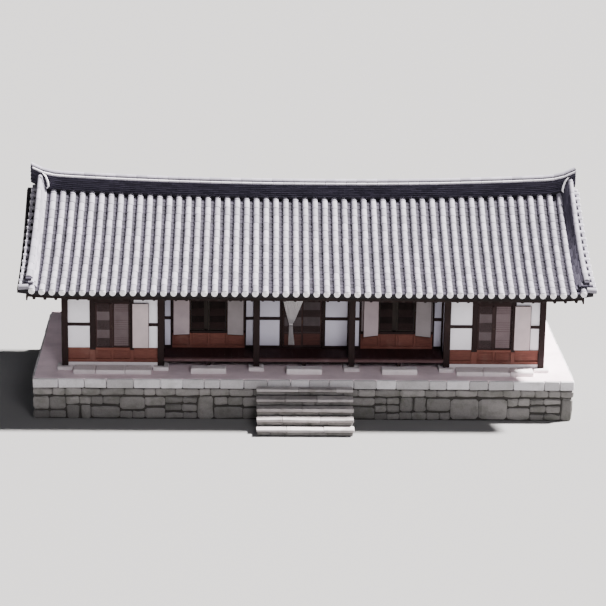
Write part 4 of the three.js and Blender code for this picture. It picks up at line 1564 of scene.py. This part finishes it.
@dataclass
class PorchFloor:
    """The porch's boards, which run out over the front girt, on joists and short legs."""

    xs: Span = (-4.015, 4.015)
    front: float = -0.09
    back: float = 0.87
    board: Span = (0.165, 0.215)
    thick: float = 0.036
    clear: float = 0.091
    girt_low: float = 0.235
    joist_low: float = 0.21
    leg_half: float = 0.055

    def _joists(self) -> list[Box]:
        """The rear beam, joists on the column lines and between them, and a leg under each bay.

        Returns:
            Their spans.
        """
        low, high = self.xs
        under = FLOOR - self.thick
        made = [(self.xs, (self.back - 0.09, self.back), (self.joist_low, under))]
        for i in range(7):
            on_column = i in (2, 4)
            x = float(np.clip(column_x(1) + i * BAY / 2, low + 0.06, high - 0.06))
            half, top = (COLUMN / 2, FLOOR) if on_column else (0.058, under)
            made.append((about(x, half), (0.0, self.back - 0.08), (self.joist_low + 0.02, top)))
        for bay in (1, 2, 3):
            leg = about(column_x(bay) + BAY / 2, self.leg_half)
            made.append((leg, (self.front + 0.01, 0.01), (0.0, 0.24)))
        return made

    def build(self) -> None:
        """Boards run in depth, with narrow gaps and worn edges."""
        boards, girts = [], []
        under = FLOOR - self.thick
        for bay in (1, 2, 3):
            a = max(column_x(bay) + self.clear, self.xs[0])
            b = min(column_x(bay + 1) - self.clear, self.xs[1])
            spans = coursed(a, b, self.board, 210 + bay, 0.0008)
            boards += [(xs, (self.front, self.back), (under, FLOOR)) for xs in spans]
            girts.append(((a, b), (self.front + 0.004, self.front + 0.09), (self.girt_low, under - 0.002)))
        Piece("porch_boards", beams(boards, 0.002, 211), Finish.BOARD, "timber", ["porch_floor"]).make()
        Piece("porch_front_girts", beams(girts, 0.012, 212), Finish.GIRT, "timber").make()
        Piece("porch_joists", beams(self._joists(), 0.008, 213), Finish.SHADED_POST, "timber").make()


# Bays, windows and doors


def moved(box: Box, x0: float) -> Box:
    """A box carried along x."""
    return (box[0][0] + x0, box[0][1] + x0), box[1], box[2]


@dataclass(frozen=True)
class Bay:
    """The timbers of one kind of front bay, with x measured from its left column.

    An end bay, whose line is 0, has red boards and rails from its foot up to the window's sill.
    """

    line: float
    posts: tuple[Span, Span]
    opening: Span
    sill: Span
    base: Span = (FLOOR, 0.435)
    side_rail: Span = (1.20, 1.29)
    panels: int = 0
    board_in: Span = (-0.015, 0.010)
    raised_in: Span = (-0.028, -0.014)
    raised_rim: Span = (0.06, 0.04)

    def _panels(self, deep: Span, thin: Span) -> list[Box]:
        """The rail under the opening, and the raised boards between it and the sill.

        Args:
            deep: Span of the framing members on y.
            thin: Span of the boards on y.

        Returns:
            Their spans.
        """
        low, high = self.base[1], self.sill[0]
        raised = tuple(self.line + y for y in self.raised_in)
        rim_x, rim_z = self.raised_rim
        wide = (self.opening[1] - self.opening[0]) / self.panels
        made = [((self.posts[0][1], self.posts[1][0]), deep, self.base)]
        for i in range(self.panels):
            a = self.opening[0] + i * wide
            made.append(((a, a + wide), thin, (low, high)))
            made.append(((a + rim_x, a + wide - rim_x), raised, (low + rim_z, high - rim_z)))
            if i:
                made.append((about(a, 0.025), deep, (low, high)))
        return made

    def timbers(self, x0: float) -> tuple[list[Box], list[Box]]:
        """The bay's rails and posts, and the boards between them.

        Args:
            x0: The left column's x.

        Returns:
            Spans of the framing members and of the thinner boards.
        """
        at_end = self.line == 0
        deep = (self.line - FRAME_OUT, self.line + FRAME_IN)
        thin = tuple(self.line + y for y in self.board_in)
        clear = (COLUMN / 2, BAY - COLUMN / 2)
        sides = (clear[0], self.posts[0][0]), (self.posts[1][1], clear[1])
        foot = self.sill[0] if at_end else self.base[0]
        members = [(post, deep, (foot, LINTEL_LOW)) for post in self.posts]
        boards = [(post, deep, (self.base[0], foot)) for post in self.posts] if at_end else []
        lower = boards if at_end else members
        for side in sides:
            members.append((side, deep, self.side_rail))
            lower.append((side, deep, self.base))
        lower.append((self.opening, deep, self.sill))
        members.append((self.opening, deep, (WINDOW_TOP, LINTEL_LOW)))
        if self.panels:
            boards += self._panels(deep, thin)
        if at_end:
            for side in sides:
                boards += [(side, deep, self.sill), (side, thin, (self.base[1], self.sill[0]))]
        else:
            members.append((clear, about(self.line, 0.06), (LINTEL_LOW, COLUMN_TOP)))
        return [moved(box, x0) for box in members], [moved(box, x0) for box in boards]


END_BAY = Bay(
    line=0.0,
    posts=((0.70, 0.86), (1.83, 1.94)),
    opening=(0.86, 1.83),
    sill=(0.56, 0.62),
    base=(0.20, 0.29),
    side_rail=(1.26, 1.35),
    panels=2,
)
WINDOW_BAY = Bay(
    line=PORCH,
    posts=((0.25, 0.30), (2.37, 2.41)),
    opening=(0.30, 2.37),
    sill=(0.80, 0.87),
    panels=4,
)
DOOR_BAY = Bay(
    line=PORCH,
    posts=((0.67, 0.76), (1.88, 1.98)),
    opening=(0.76, 1.88),
    sill=(FLOOR, 0.40),
)
FRONT_BAYS = (END_BAY, WINDOW_BAY, DOOR_BAY, WINDOW_BAY, END_BAY)


class Face(Enum):
    """Which side of a leaf the lattice shows on."""

    FRONT = -1
    BACK = 1


@dataclass
class Leaf:
    """A lattice leaf: stiles and rails, close upright bars with bands of cross bars, and paper.

    The right stile is wider where `closing` says so, and the foot of a door leaf has a panel.
    """

    xs: Span
    ys: Span
    zs: Span
    face: Face = Face.FRONT
    stile: float = 0.040
    closing: float = 0.0
    bars: int = 13
    bar: float = 0.006
    bar_in: Span = (0.004, 0.016)
    paper_in: Span = (0.0162, 0.0190)
    paper_rim: float = 0.014
    bands: Sequence[Span] = ((0.01, 0.19), (0.40, 0.61), (0.83, 0.99))
    band_bars: int = 15
    panel: float = 0.0

    def wood(self) -> list[Box]:
        """Spans of the stiles and rails.

        Returns:
            One for each stile, then one for each rail.
        """
        (x0, x1), ys, (z0, z1) = self.xs, self.ys, self.zs
        s = self.stile
        stiles = [((x0, x0 + s), ys, (z0, z1)), ((x1 - max(s, self.closing), x1), ys, (z0, z1))]
        rails = [(z0, z0 + s), (z1 - s, z1)]
        if self.panel:
            rails.append((z0 + self.panel - s, z0 + self.panel))
        return stiles + [((x0 + s, x1 - s), ys, rail) for rail in rails]

    def lattice(self) -> list[Box]:
        """Bars of the lattice: even uprights, and cross bars close together in each band.

        Returns:
            Their spans.
        """
        (front, back), (near, far) = self.ys, self.bar_in
        ys = (front + near, front + far) if self.face is Face.FRONT else (back - far, back - near)
        x0, x1 = self.xs[0] + self.stile, self.xs[1] - self.stile
        z0 = self.zs[0] + (self.panel or self.stile)
        z1 = self.zs[1] - self.stile
        half = self.bar / 2
        uprights = np.linspace(x0, x1, self.bars + 2)[1:-1]
        heights = np.concatenate([np.linspace(a, b, self.band_bars) for a, b in self.bands]) * (z1 - z0) + z0
        thinner = (ys[0] + 0.001, ys[1] - 0.001)
        made = [(about(x, half), ys, (z0, z1)) for x in uprights]
        return made + [((x0, x1), thinner, about(z, half)) for z in heights]

    def paper(self) -> list[Box]:
        """The paper as a thin closed slab: behind the bars, or pasted over a back face's frame.

        Returns:
            Its spans.
        """
        front = self.ys[0]
        if self.face is Face.BACK:
            rim = self.paper_rim
            zs = (self.zs[0] + rim, self.zs[1] - rim)
            return [((self.xs[0] + rim, self.xs[1] - rim), (front - 0.001, front + 0.002), zs)]
        s = self.stile - 0.004
        zs = (self.zs[0] + (self.panel or self.stile) - 0.004, self.zs[1] - s)
        return [((self.xs[0] + s, self.xs[1] - s), tuple(front + y for y in self.paper_in), zs)]

    def boards(self) -> list[Box]:
        """The board that fills the foot of a door leaf, if it has one.

        Returns:
            Its spans, or nothing.
        """
        if not self.panel:
            return []
        s = self.stile
        zs = (self.zs[0] + s, self.zs[0] + self.panel - s)
        return [((self.xs[0] + s, self.xs[1] - s), about(sum(self.ys) / 2, 0.007), zs)]


@dataclass
class Turn:
    """A leaf's place when it has swung: first turned about an upright through the origin."""

    x: float
    y: float
    degrees: float
    mirror: float | None = None

    def _swung(self, points: Array) -> Array:
        """Turns the points about the origin's upright and carries them to the hinge.

        Args:
            points: Points of a leaf that hangs from x = 0.

        Returns:
            The points of the swung leaf.
        """
        x, y, z = points.T
        cos, sin = np.cos(np.radians(self.degrees)), np.sin(np.radians(self.degrees))
        return np.column_stack([self.x + x * cos - y * sin, self.y + x * sin + y * cos, z])

    def apply(self, form: Form) -> Form:
        """The form in its swung place, mirrored across x = mirror where that is given."""
        swung = form.changed(self._swung)
        return swung if self.mirror is None else swung.flipped(0, self.mirror)


@dataclass
class WindowSet:
    """Leaves that share their finishes, and the CAD nodes that they stand for."""

    name: str
    leaves: Sequence[Leaf]
    replaces: Sequence[str] = ()
    body: str = "house"
    frame: Finish = Finish.DARK_LATTICE
    bars: Finish = Finish.DARK_LATTICE
    paper: Finish = Finish.WINDOW_PAPER
    turn: Turn | None = None
    seed: int = 300

    def build(self) -> None:
        """Makes the frames, the bars, the paper and the boards, if there are any."""
        for number, (part, kind, edge, finish, slot) in enumerate((
            ("frame", Leaf.wood, 0.003, self.frame, "lattice"),
            ("bars", Leaf.lattice, 0, self.bars, "lattice"),
            ("paper", Leaf.paper, 0.0005, self.paper, "paper"),
            ("board", Leaf.boards, 0.003, Finish.DOOR_PANEL, "timber"),
        )):
            boxes = [box for leaf in self.leaves for box in kind(leaf)]
            if boxes:
                form = beams(boxes, edge, self.seed + number)
                placed = self.turn.apply(form) if self.turn else form
                replaces = self.replaces if part == "frame" else ()
                Piece(f"{self.name}_{part}", placed, finish, slot, replaces, self.body).make()


GAP = 0.0003
LEAF_TOP = WINDOW_TOP - 0.005


def end_windows(number: int) -> list[WindowSet]:
    """An end bay's shut leaf, the leaf folded back over the wall, and the inner leaf.

    Args:
        number: The bay's number, 1 or 5.

    Returns:
        Their sets.
    """
    x0 = column_x(number - 1)
    zs = (END_BAY.sill[1] + GAP, LEAF_TOP)
    inner = Finish.END_PAPER if number == 1 else Finish.WINDOW_PAPER
    dark, pale = Finish.DARK_LATTICE, Finish.LATTICE
    sets = []
    for part, (a, b), ys, special, bars, paper in (
        ("shut", (0.865, 1.345), (-0.050, -0.018), {"closing": 0.085}, dark, Finish.END_PAPER),
        ("open", (1.895, 2.365), (-0.0873, -0.0553), {"face": Face.BACK}, dark, Finish.OPEN_PAPER),
        ("inner", (1.346, 1.825), (0.0, 0.024), {"band_bars": 5}, pale, inner),
    ):
        leaf = Leaf((x0 + a, x0 + b), ys, zs, **special)
        name = f"window_{number}_{part}"
        sets.append(WindowSet(name, [leaf], [f"{name}_leaf"], bars=bars, paper=paper, seed=300 + number))
    return sets


def porch_windows(number: int) -> list[WindowSet]:
    """A porch window's four leaves, with the two outer leaves' folded pairs swung before them.

    Args:
        number: The bay's number, 2 or 4.

    Returns:
        Their sets.
    """
    x0 = column_x(number - 1)
    zs = (WINDOW_BAY.sill[1] + GAP, LEAF_TOP)
    degrees = {2: 8.0, 4: 22.0}[number]
    name = f"window_{number}"
    middle = x0 + 1.335
    low, high = x0 + 0.305, x0 + 0.8175
    sets = []
    # The left leaves take the lighter paper, the right ones the darker copy: painted shade.
    for side, xs, mirror, paper in (
        ("left", (low, high), None, Finish.PORCH_PAPER),
        ("right", (2 * middle - high, 2 * middle - low), middle, Finish.PAINTED_SHADE_PAPER),
    ):
        shut = Leaf(xs, (0.850, 0.882), zs, Face.BACK)
        folded = Leaf((-0.48, 0.0), (-0.032, 0.0), (0.76, LEAF_TOP), Face.BACK)
        turn = Turn(x0 + 0.797, PORCH - FRAME_OUT - GAP, degrees, mirror)
        node = [f"{name}_{side}_leaves"]
        sets.append(WindowSet(f"{name}_{side}_shut", [shut], node, paper=paper, seed=360 + number))
        sets.append(WindowSet(f"{name}_{side}_folded", [folded], paper=paper, turn=turn, seed=364 + number))
    inner = [Leaf((x0 + a, x0 + b), (0.905, 0.929), zs) for a, b in ((0.823, 1.334), (1.336, 1.847))]
    inner[0].closing = 0.13
    # The inner leaves are near-black wood and cloth: painted shade of the room seen through the open window.
    looks = {"frame": Finish.SCREEN_WOOD, "paper": Finish.SCREEN}
    sets.append(WindowSet(f"{name}_inner", inner, [f"{name}_inner_leaves"], seed=380 + number, **looks))
    return sets


def doors() -> list[WindowSet]:
    """The middle bay's two sliding leaves.

    Returns:
        Their sets.
    """
    x0 = column_x(2)
    zs = (DOOR_BAY.sill[1] + GAP, WINDOW_TOP - 0.006)
    bands = ((0.02, 0.18), (0.44, 0.62), (0.85, 0.98))
    sets = []
    for side, (a, b), ys in (
        ("left", (0.766, 1.334), (0.856, 0.884)),
        ("right", (1.306, 1.874), (0.892, 0.920)),
    ):
        leaf = Leaf((x0 + a, x0 + b), ys, zs, stile=0.045, panel=0.42, bands=bands)
        rides = {"body": f"{side}_leaf", "paper": Finish.SHADED_PAPER, "seed": 400}
        sets.append(WindowSet(f"door_{side}_leaf", [leaf], [f"door_{side}"], **rides))
    return sets


@dataclass
class RearWall:
    """The back wall's timbers and its five shut windows of two leaves each."""

    posts: Sequence[Span] = ((0.75, 0.86), (1.84, 1.95))
    rails: Sequence[Span] = ((0.20, 0.29), (0.82, 0.90))
    leaf_xs: Sequence[Span] = ((0.863, 1.349), (1.351, 1.837))
    leaf_low: float = 0.903

    def _timbers(self) -> list[Box]:
        """The eave timbers, and each bay's posts, rails and window head.

        Returns:
            Their spans, on the front line.
        """
        boxes = eave_timbers()
        deep = (-FRAME_OUT, FRAME_IN)
        (a, b), (c, d) = self.posts
        for bay in range(BAYS):
            own = [(post, deep, (self.rails[0][0], LINTEL_LOW)) for post in self.posts]
            own += [(xs, deep, zs) for zs in self.rails for xs in ((0.09, a), (b, c), (d, 2.61))]
            own.append(((b, c), deep, (WINDOW_TOP, LINTEL_LOW)))
            boxes += [moved(box, column_x(bay)) for box in own]
        return boxes

    def build(self) -> None:
        """Makes the members as in front and mirrors them to the back line."""
        starts = [column_x(bay) for bay in range(BAYS)]
        zs = (self.leaf_low, LEAF_TOP)
        leaves = [Leaf((x0 + a, x0 + b), (-0.03, 0.0), zs) for x0 in starts for a, b in self.leaf_xs]
        kinds = ((Leaf.wood, 0.003, 421), (Leaf.lattice, 0, 422), (Leaf.paper, 0.0005, 423))
        wood, bars, paper = (
            beams([box for leaf in leaves for box in kind(leaf)], edge, seed) for kind, edge, seed in kinds
        )
        for name, form, finish, slot, stands_for in (
            ("timbers", beams(self._timbers(), 0.008, 420), Finish.SHADED_POST, "timber", ["back_wall_frame"]),
            ("window_wood", Form.together([wood, bars]), Finish.LATTICE, "lattice", []),
            ("window_paper", paper, Finish.WINDOW_PAPER, "paper", []),
        ):
            Piece(f"rear_{name}", on_side(form, "back"), finish, slot, stands_for).make()


@dataclass
class Curtain:
    """A white cotton curtain, gathered on a rod and tied at its middle."""

    back: float = 0.8447
    hang: float = 0.025
    flat: Span = (1.0, 1.5)
    thickness: float = 0.0012
    folds: int = 9
    deepest_fold: float = 0.0225
    grid: tuple[int, int] = (145, 61)
    heights: Sequence[float] = (1.96, 1.60, 1.20, 1.09, 0.80, 0.47)
    left: Sequence[float] = (0.735, 0.800, 0.915, 0.940, 0.935, 0.920)
    right: Sequence[float] = (1.395, 1.265, 1.100, 1.040, 1.065, 1.100)
    tie_height: float = 1.09
    tie_half: tuple[float, float] = (0.0025, 0.011)
    rod_height: float = 1.967
    rod_radius: float = 0.009

    def _edges(self, z: Array | float) -> tuple[Array, Array]:
        """The left and right edges' x at each height, between the CAD curtain's levels."""
        heights = -np.asarray(self.heights)
        return tuple(column_x(2) + np.interp(-z, heights, values) for values in (self.left, self.right))

    def _cloth(self) -> Form:
        """The cloth: x = middle(z) + half(z) u, y = back + fold(z) sin(pi folds u), both a little wavy.

        The folds' depth keeps each row's length near the flat width, as far as the room before
        the door leaf allows.

        Returns:
            One layer of quads.
        """
        across, down = self.grid
        u = np.linspace(-1, 1, across)[None]
        z = np.linspace(self.heights[0], self.heights[-1], down)[:, None]
        low, high = self._edges(z)
        middle, half = (low + high) / 2, (high - low) / 2
        pleat = self.flat[0] / (2 * self.folds)
        depth = np.sqrt(np.clip(pleat**2 - (half / self.folds) ** 2, 1e-6, None)) / 2
        depth = np.minimum(depth, self.deepest_fold)
        x = middle + half * u * (1 + 0.03 * np.sin(7 * z))
        y = self.back - self.hang + depth * np.sin(np.pi * self.folds * u + 0.6 * np.sin(4 * z))
        points = np.stack(np.broadcast_arrays(x, y, z), -1).reshape(-1, 3)
        own = np.stack(np.broadcast_arrays(u * self.flat[0] / 2, z, 0 * u * z), -1).reshape(-1, 3)
        index = np.arange(across * down).reshape(down, across)
        quads = np.stack([index[:-1, :-1], index[1:, :-1], index[1:, 1:], index[:-1, 1:]], -1)
        return Form(points, [quads.reshape(-1, 4)], own, np.full(len(points), 0.5))

    def _tie(self) -> Form:
        """The band round the gathered cloth: an upright strip carried round an ellipse.

        Returns:
            The band.
        """
        low, high = self._edges(self.tie_height)
        turn = np.linspace(0, 2 * np.pi, 24, endpoint=False)
        out = np.column_stack([np.cos(turn), np.sin(turn), 0 * turn])
        centre = np.array([(low + high) / 2, self.back - self.hang - 0.0015, self.tie_height])
        path = centre + np.array([(high - low) / 2 + 0.006, 0.026, 0]) * out
        thick, tall = self.tie_half
        ring = path[:, None] + SQUARE[:, :1] * thick * out[:, None] + SQUARE[:, 1:] * np.array([0, 0, tall])
        return tubes(ring[None, ::-1], ring[None], np.array([0.6]), looped=True)

    def _rod(self) -> Form:
        """The rod, and the two hooks that hold it.

        Returns:
            Both as one form.
        """
        low, high = self._edges(1.96)
        low, high = low - 0.02, high + 0.02
        y = self.back - self.hang
        line = np.array([[(x, y, self.rod_height) for x in (low, (low + high) / 2, high)]])
        hooks = [(about(x, 0.006), (y - 0.011, y + 0.027), (1.950, 1.958)) for x in (low, high)]
        return Form.together([runs(line, self.rod_radius, Y_AXIS, 12, 430), beams(hooks, 0.002, 431)])

    def build(self) -> None:
        cloth = Piece("curtain", self._cloth(), Finish.COTTON, "cloth", ["door_curtain"], smooth=True).make()
        thick = cloth.modifiers.new("thickness", "SOLIDIFY")
        thick.thickness = self.thickness
        thick.offset = 0
        band = Piece("curtain_tie", self._tie(), Finish.COTTON, "cloth").make()
        Piece("curtain_rod", self._rod(), Finish.DARK_LATTICE, "timber").make()


@dataclass
class Ironwork:
    """Forged ring pulls, the doors' pull plates, and the strap hinges of the folded leaves."""

    ring: float = 0.030
    wire: float = 0.0035
    pull: Point = (1.325, -0.052, 1.25)
    hinge_xs: Span = (0.797, 1.873)
    hinge_lows: Span = (1.0, 1.72)

    def build(self) -> None:
        """Makes the end windows' pulls, the doors' plates and the porch windows' hinges."""
        x, y, z = self.pull
        pulls = Form.together(self._pull(column_x(bay) + x, y, z) for bay in (0, BAYS - 1))
        Piece("window_pulls", pulls, Finish.IRON, "").make()
        for side, x, y in (("left", 1.312, 0.856), ("right", 1.852, 0.892)):
            xs = about(column_x(2) + x, 0.013)
            plate = beams([(xs, (y - 0.0025, y + 0.001), (1.09, 1.20))], 0.002, 441)
            Piece(f"door_{side}_pull", plate, Finish.IRON, "", (), f"{side}_leaf").make()
        middles = [column_x(bay) + x for bay in (1, 3) for x in self.hinge_xs]
        ys = (0.8207, 0.870)
        hinges = [(about(x, 0.014), ys, (z, z + 0.06)) for x in middles for z in self.hinge_lows]
        Piece("window_hinges", beams(hinges, 0.003, 442), Finish.IRON, "").make()

    def _pull(self, x: float, y: float, z: float) -> Form:
        """A ring that hangs in the leaf's plane as a looped tube, with a small plate behind it.

        Args:
            x: The x of the ring's top.
            y: The y of the leaf's face.
            z: Height of the ring's top.

        Returns:
            The form.
        """
        turn = np.linspace(0, 2 * np.pi, 20, endpoint=False)
        centre = np.array([x, y, z]) + np.array([0, -0.006, -self.ring])
        out = np.column_stack([np.sin(turn), 0 * turn, np.cos(turn)])
        angle = np.linspace(0, 2 * np.pi, 8, endpoint=False)[:, None]
        section = np.cos(angle) * out[:, None] + np.sin(angle) * np.array(Y_AXIS)
        rings = (centre + self.ring * out)[:, None] + self.wire * section
        ring = tubes(rings[None], rings[None], np.array([0.5]), looped=True)
        plate = beams([(about(x, 0.016), (y - 0.0035, y + 0.001), about(z, 0.020))], 0.003, 440)
        return Form.together([ring, plate])


# The house and the studio


class House:
    """The whole house, built in order from the ground up."""

    def build(self) -> None:
        """Builds every sub-assembly and dresses the CAD nodes that stay in view."""
        Podium().build()
        Steps().build()
        for index in range(BAYS + 1):
            Bent(index).build()
        PorchFloor().build()
        self._front()
        RearWall().build()
        for side in ("front", "back"):
            Rafters(side).build()
            Slope(side).build()
            for end in ("left", "right"):
                Verge(side, end).build()
        MainRidge().build()
        for leaves in (end_windows(1), porch_windows(2), doors(), porch_windows(4), end_windows(5)):
            for window in leaves:
                window.build()
        Curtain().build()
        Ironwork().build()
        self._dress_nodes()

    def _front(self) -> None:
        """Makes each front bay's framing and boards, and the eave timbers."""
        eave = beams(eave_timbers(), 0.008, 450)
        Piece("front_eave_timbers", eave, Finish.SHADED_POST, "timber", ["front_eave_beam"]).make()
        for number, bay in enumerate(FRONT_BAYS, 1):
            members, boards = bay.timbers(column_x(number - 1))
            form = beams(members, 0.006, 450 + number)
            Piece(f"bay_{number}_timbers", form, Finish.SHADED_POST, "timber", [f"bay_{number}_frame"]).make()
            if boards:
                form = beams(boards, 0.004, 460 + number)
                Piece(f"bay_{number}_boards", form, Finish.PANEL, "timber").make()

    def _dress_nodes(self) -> None:
        """Gives the plaster walls, the room floor, the ridge purlin and the bargeboards their finish."""
        # The porch walls take the darker copy of the plaster, painted shade.
        porch = ["bay_2_wall", "bay_3_wall", "bay_4_wall", "porch_end_wall_left", "porch_end_wall_right"]
        outer = ["bay_1_wall", "bay_5_wall", "left_gable_wall", "right_gable_wall", "back_wall"]
        for nodes, finish in (
            (porch, Finish.SHADED_PORCH_PLASTER),
            (outer, Finish.PLASTER),
            (["room_floor"], Finish.FLOOR_PAPER),
            (["ridge_purlin", "left_bargeboards", "right_bargeboards"], Finish.SHADED_POST),
        ):
            for node in nodes:
                dress(node, finish)


@dataclass
class Studio:
    """The pale floor, the soft lights and the camera at the photograph's viewpoint."""

    eye: Point = (-2.058, -62.628, 20.789)
    target: Point = (-0.007, -0.6, 2.799)
    roll_deg: float = 0.933
    lens: float = 133.47
    sensor: float = 36.0
    farthest: float = 3000
    floor_half: float = 900.0
    floor_colour: Colour = (0.19, 0.19, 0.187)
    key_from: Point = (54, 14, 84)
    key_strength: float = 33.0
    key_angle_deg: float = 4.5
    key_colour: Colour = (1.0, 0.96, 0.95)
    fill_from: Point = (10, -45, 24)
    fill_size: float = 14.0
    fill_watts: float = 9000
    fill_colour: Colour = (1.0, 0.96, 1.0)
    sky_colour: Colour = (0.86, 0.86, 0.96)
    sky_strength: float = 0.16

    def build(self) -> None:
        """Makes the floor, the lights and the camera."""
        self._floor()
        key = bpy.data.lights.new("key", "SUN")
        key.energy, key.angle = self.key_strength, np.radians(self.key_angle_deg)
        key.color = self.key_colour
        self._aim(key, self.key_from)
        fill = bpy.data.lights.new("fill", "AREA")
        fill.energy, fill.size, fill.color = self.fill_watts, self.fill_size, self.fill_colour
        self._aim(fill, self.fill_from)
        world = bpy.data.worlds.new("studio")
        bpy.context.scene.world = world
        world.use_nodes = True
        sky = world.node_tree.nodes["Background"].inputs
        sky["Color"].default_value = (*self.sky_colour, 1)
        sky["Strength"].default_value = self.sky_strength
        self._camera()

    def _floor(self) -> None:
        """A pale floor that reaches past the camera's view."""
        mesh = bpy.data.meshes.new("studio_floor")
        corners = [(x * self.floor_half, y * self.floor_half, 0) for x, y in SQUARE[[3, 0, 1, 2]]]
        mesh.from_pydata(corners, [], [(0, 1, 2, 3)])
        floor = self._placed(mesh)
        mesh.materials.append(Bench({"Base Color": (*self.floor_colour, 1), "Roughness": 0.9}).material)

    def _placed(self, data: bpy.types.ID) -> bpy.types.Object:
        """An object of the given data, in the scene under the data's name.

        Args:
            data: A mesh, a light or a camera.

        Returns:
            The object.
        """
        made = bpy.data.objects.new(data.name, data)
        bpy.context.scene.collection.objects.link(made)
        return made

    def _aim(self, data: bpy.types.Light, place: Point) -> None:
        """Stands a light at a place, turned to the middle of the house.

        Args:
            data: The light.
            place: Where it stands.
        """
        light = self._placed(data)
        light.location = place
        light.rotation_euler = (Vector((0, 0, 2.5)) - Vector(place)).to_track_quat("-Z", "Y").to_euler()

    def _camera(self) -> None:
        """The camera stands where the photograph was taken, with a longer lens and its roll."""
        data = bpy.data.cameras.new("camera")
        data.lens, data.sensor_width, data.clip_end = self.lens, self.sensor, self.farthest
        camera = self._placed(data)
        aim = (Vector(self.target) - Vector(self.eye)).to_track_quat("-Z", "Y").to_matrix()
        turn = Matrix.Rotation(np.radians(self.roll_deg), 3, "Z")
        camera.matrix_world = Matrix.Translation(self.eye) @ (aim @ turn).to_4x4()
        bpy.context.scene.camera = camera


def main() -> None:
    """Builds the house and its studio."""
    logging.basicConfig(level=logging.INFO, format="%(message)s")
    House().build()
    Studio().build()


if __name__ == "__main__":
    main()
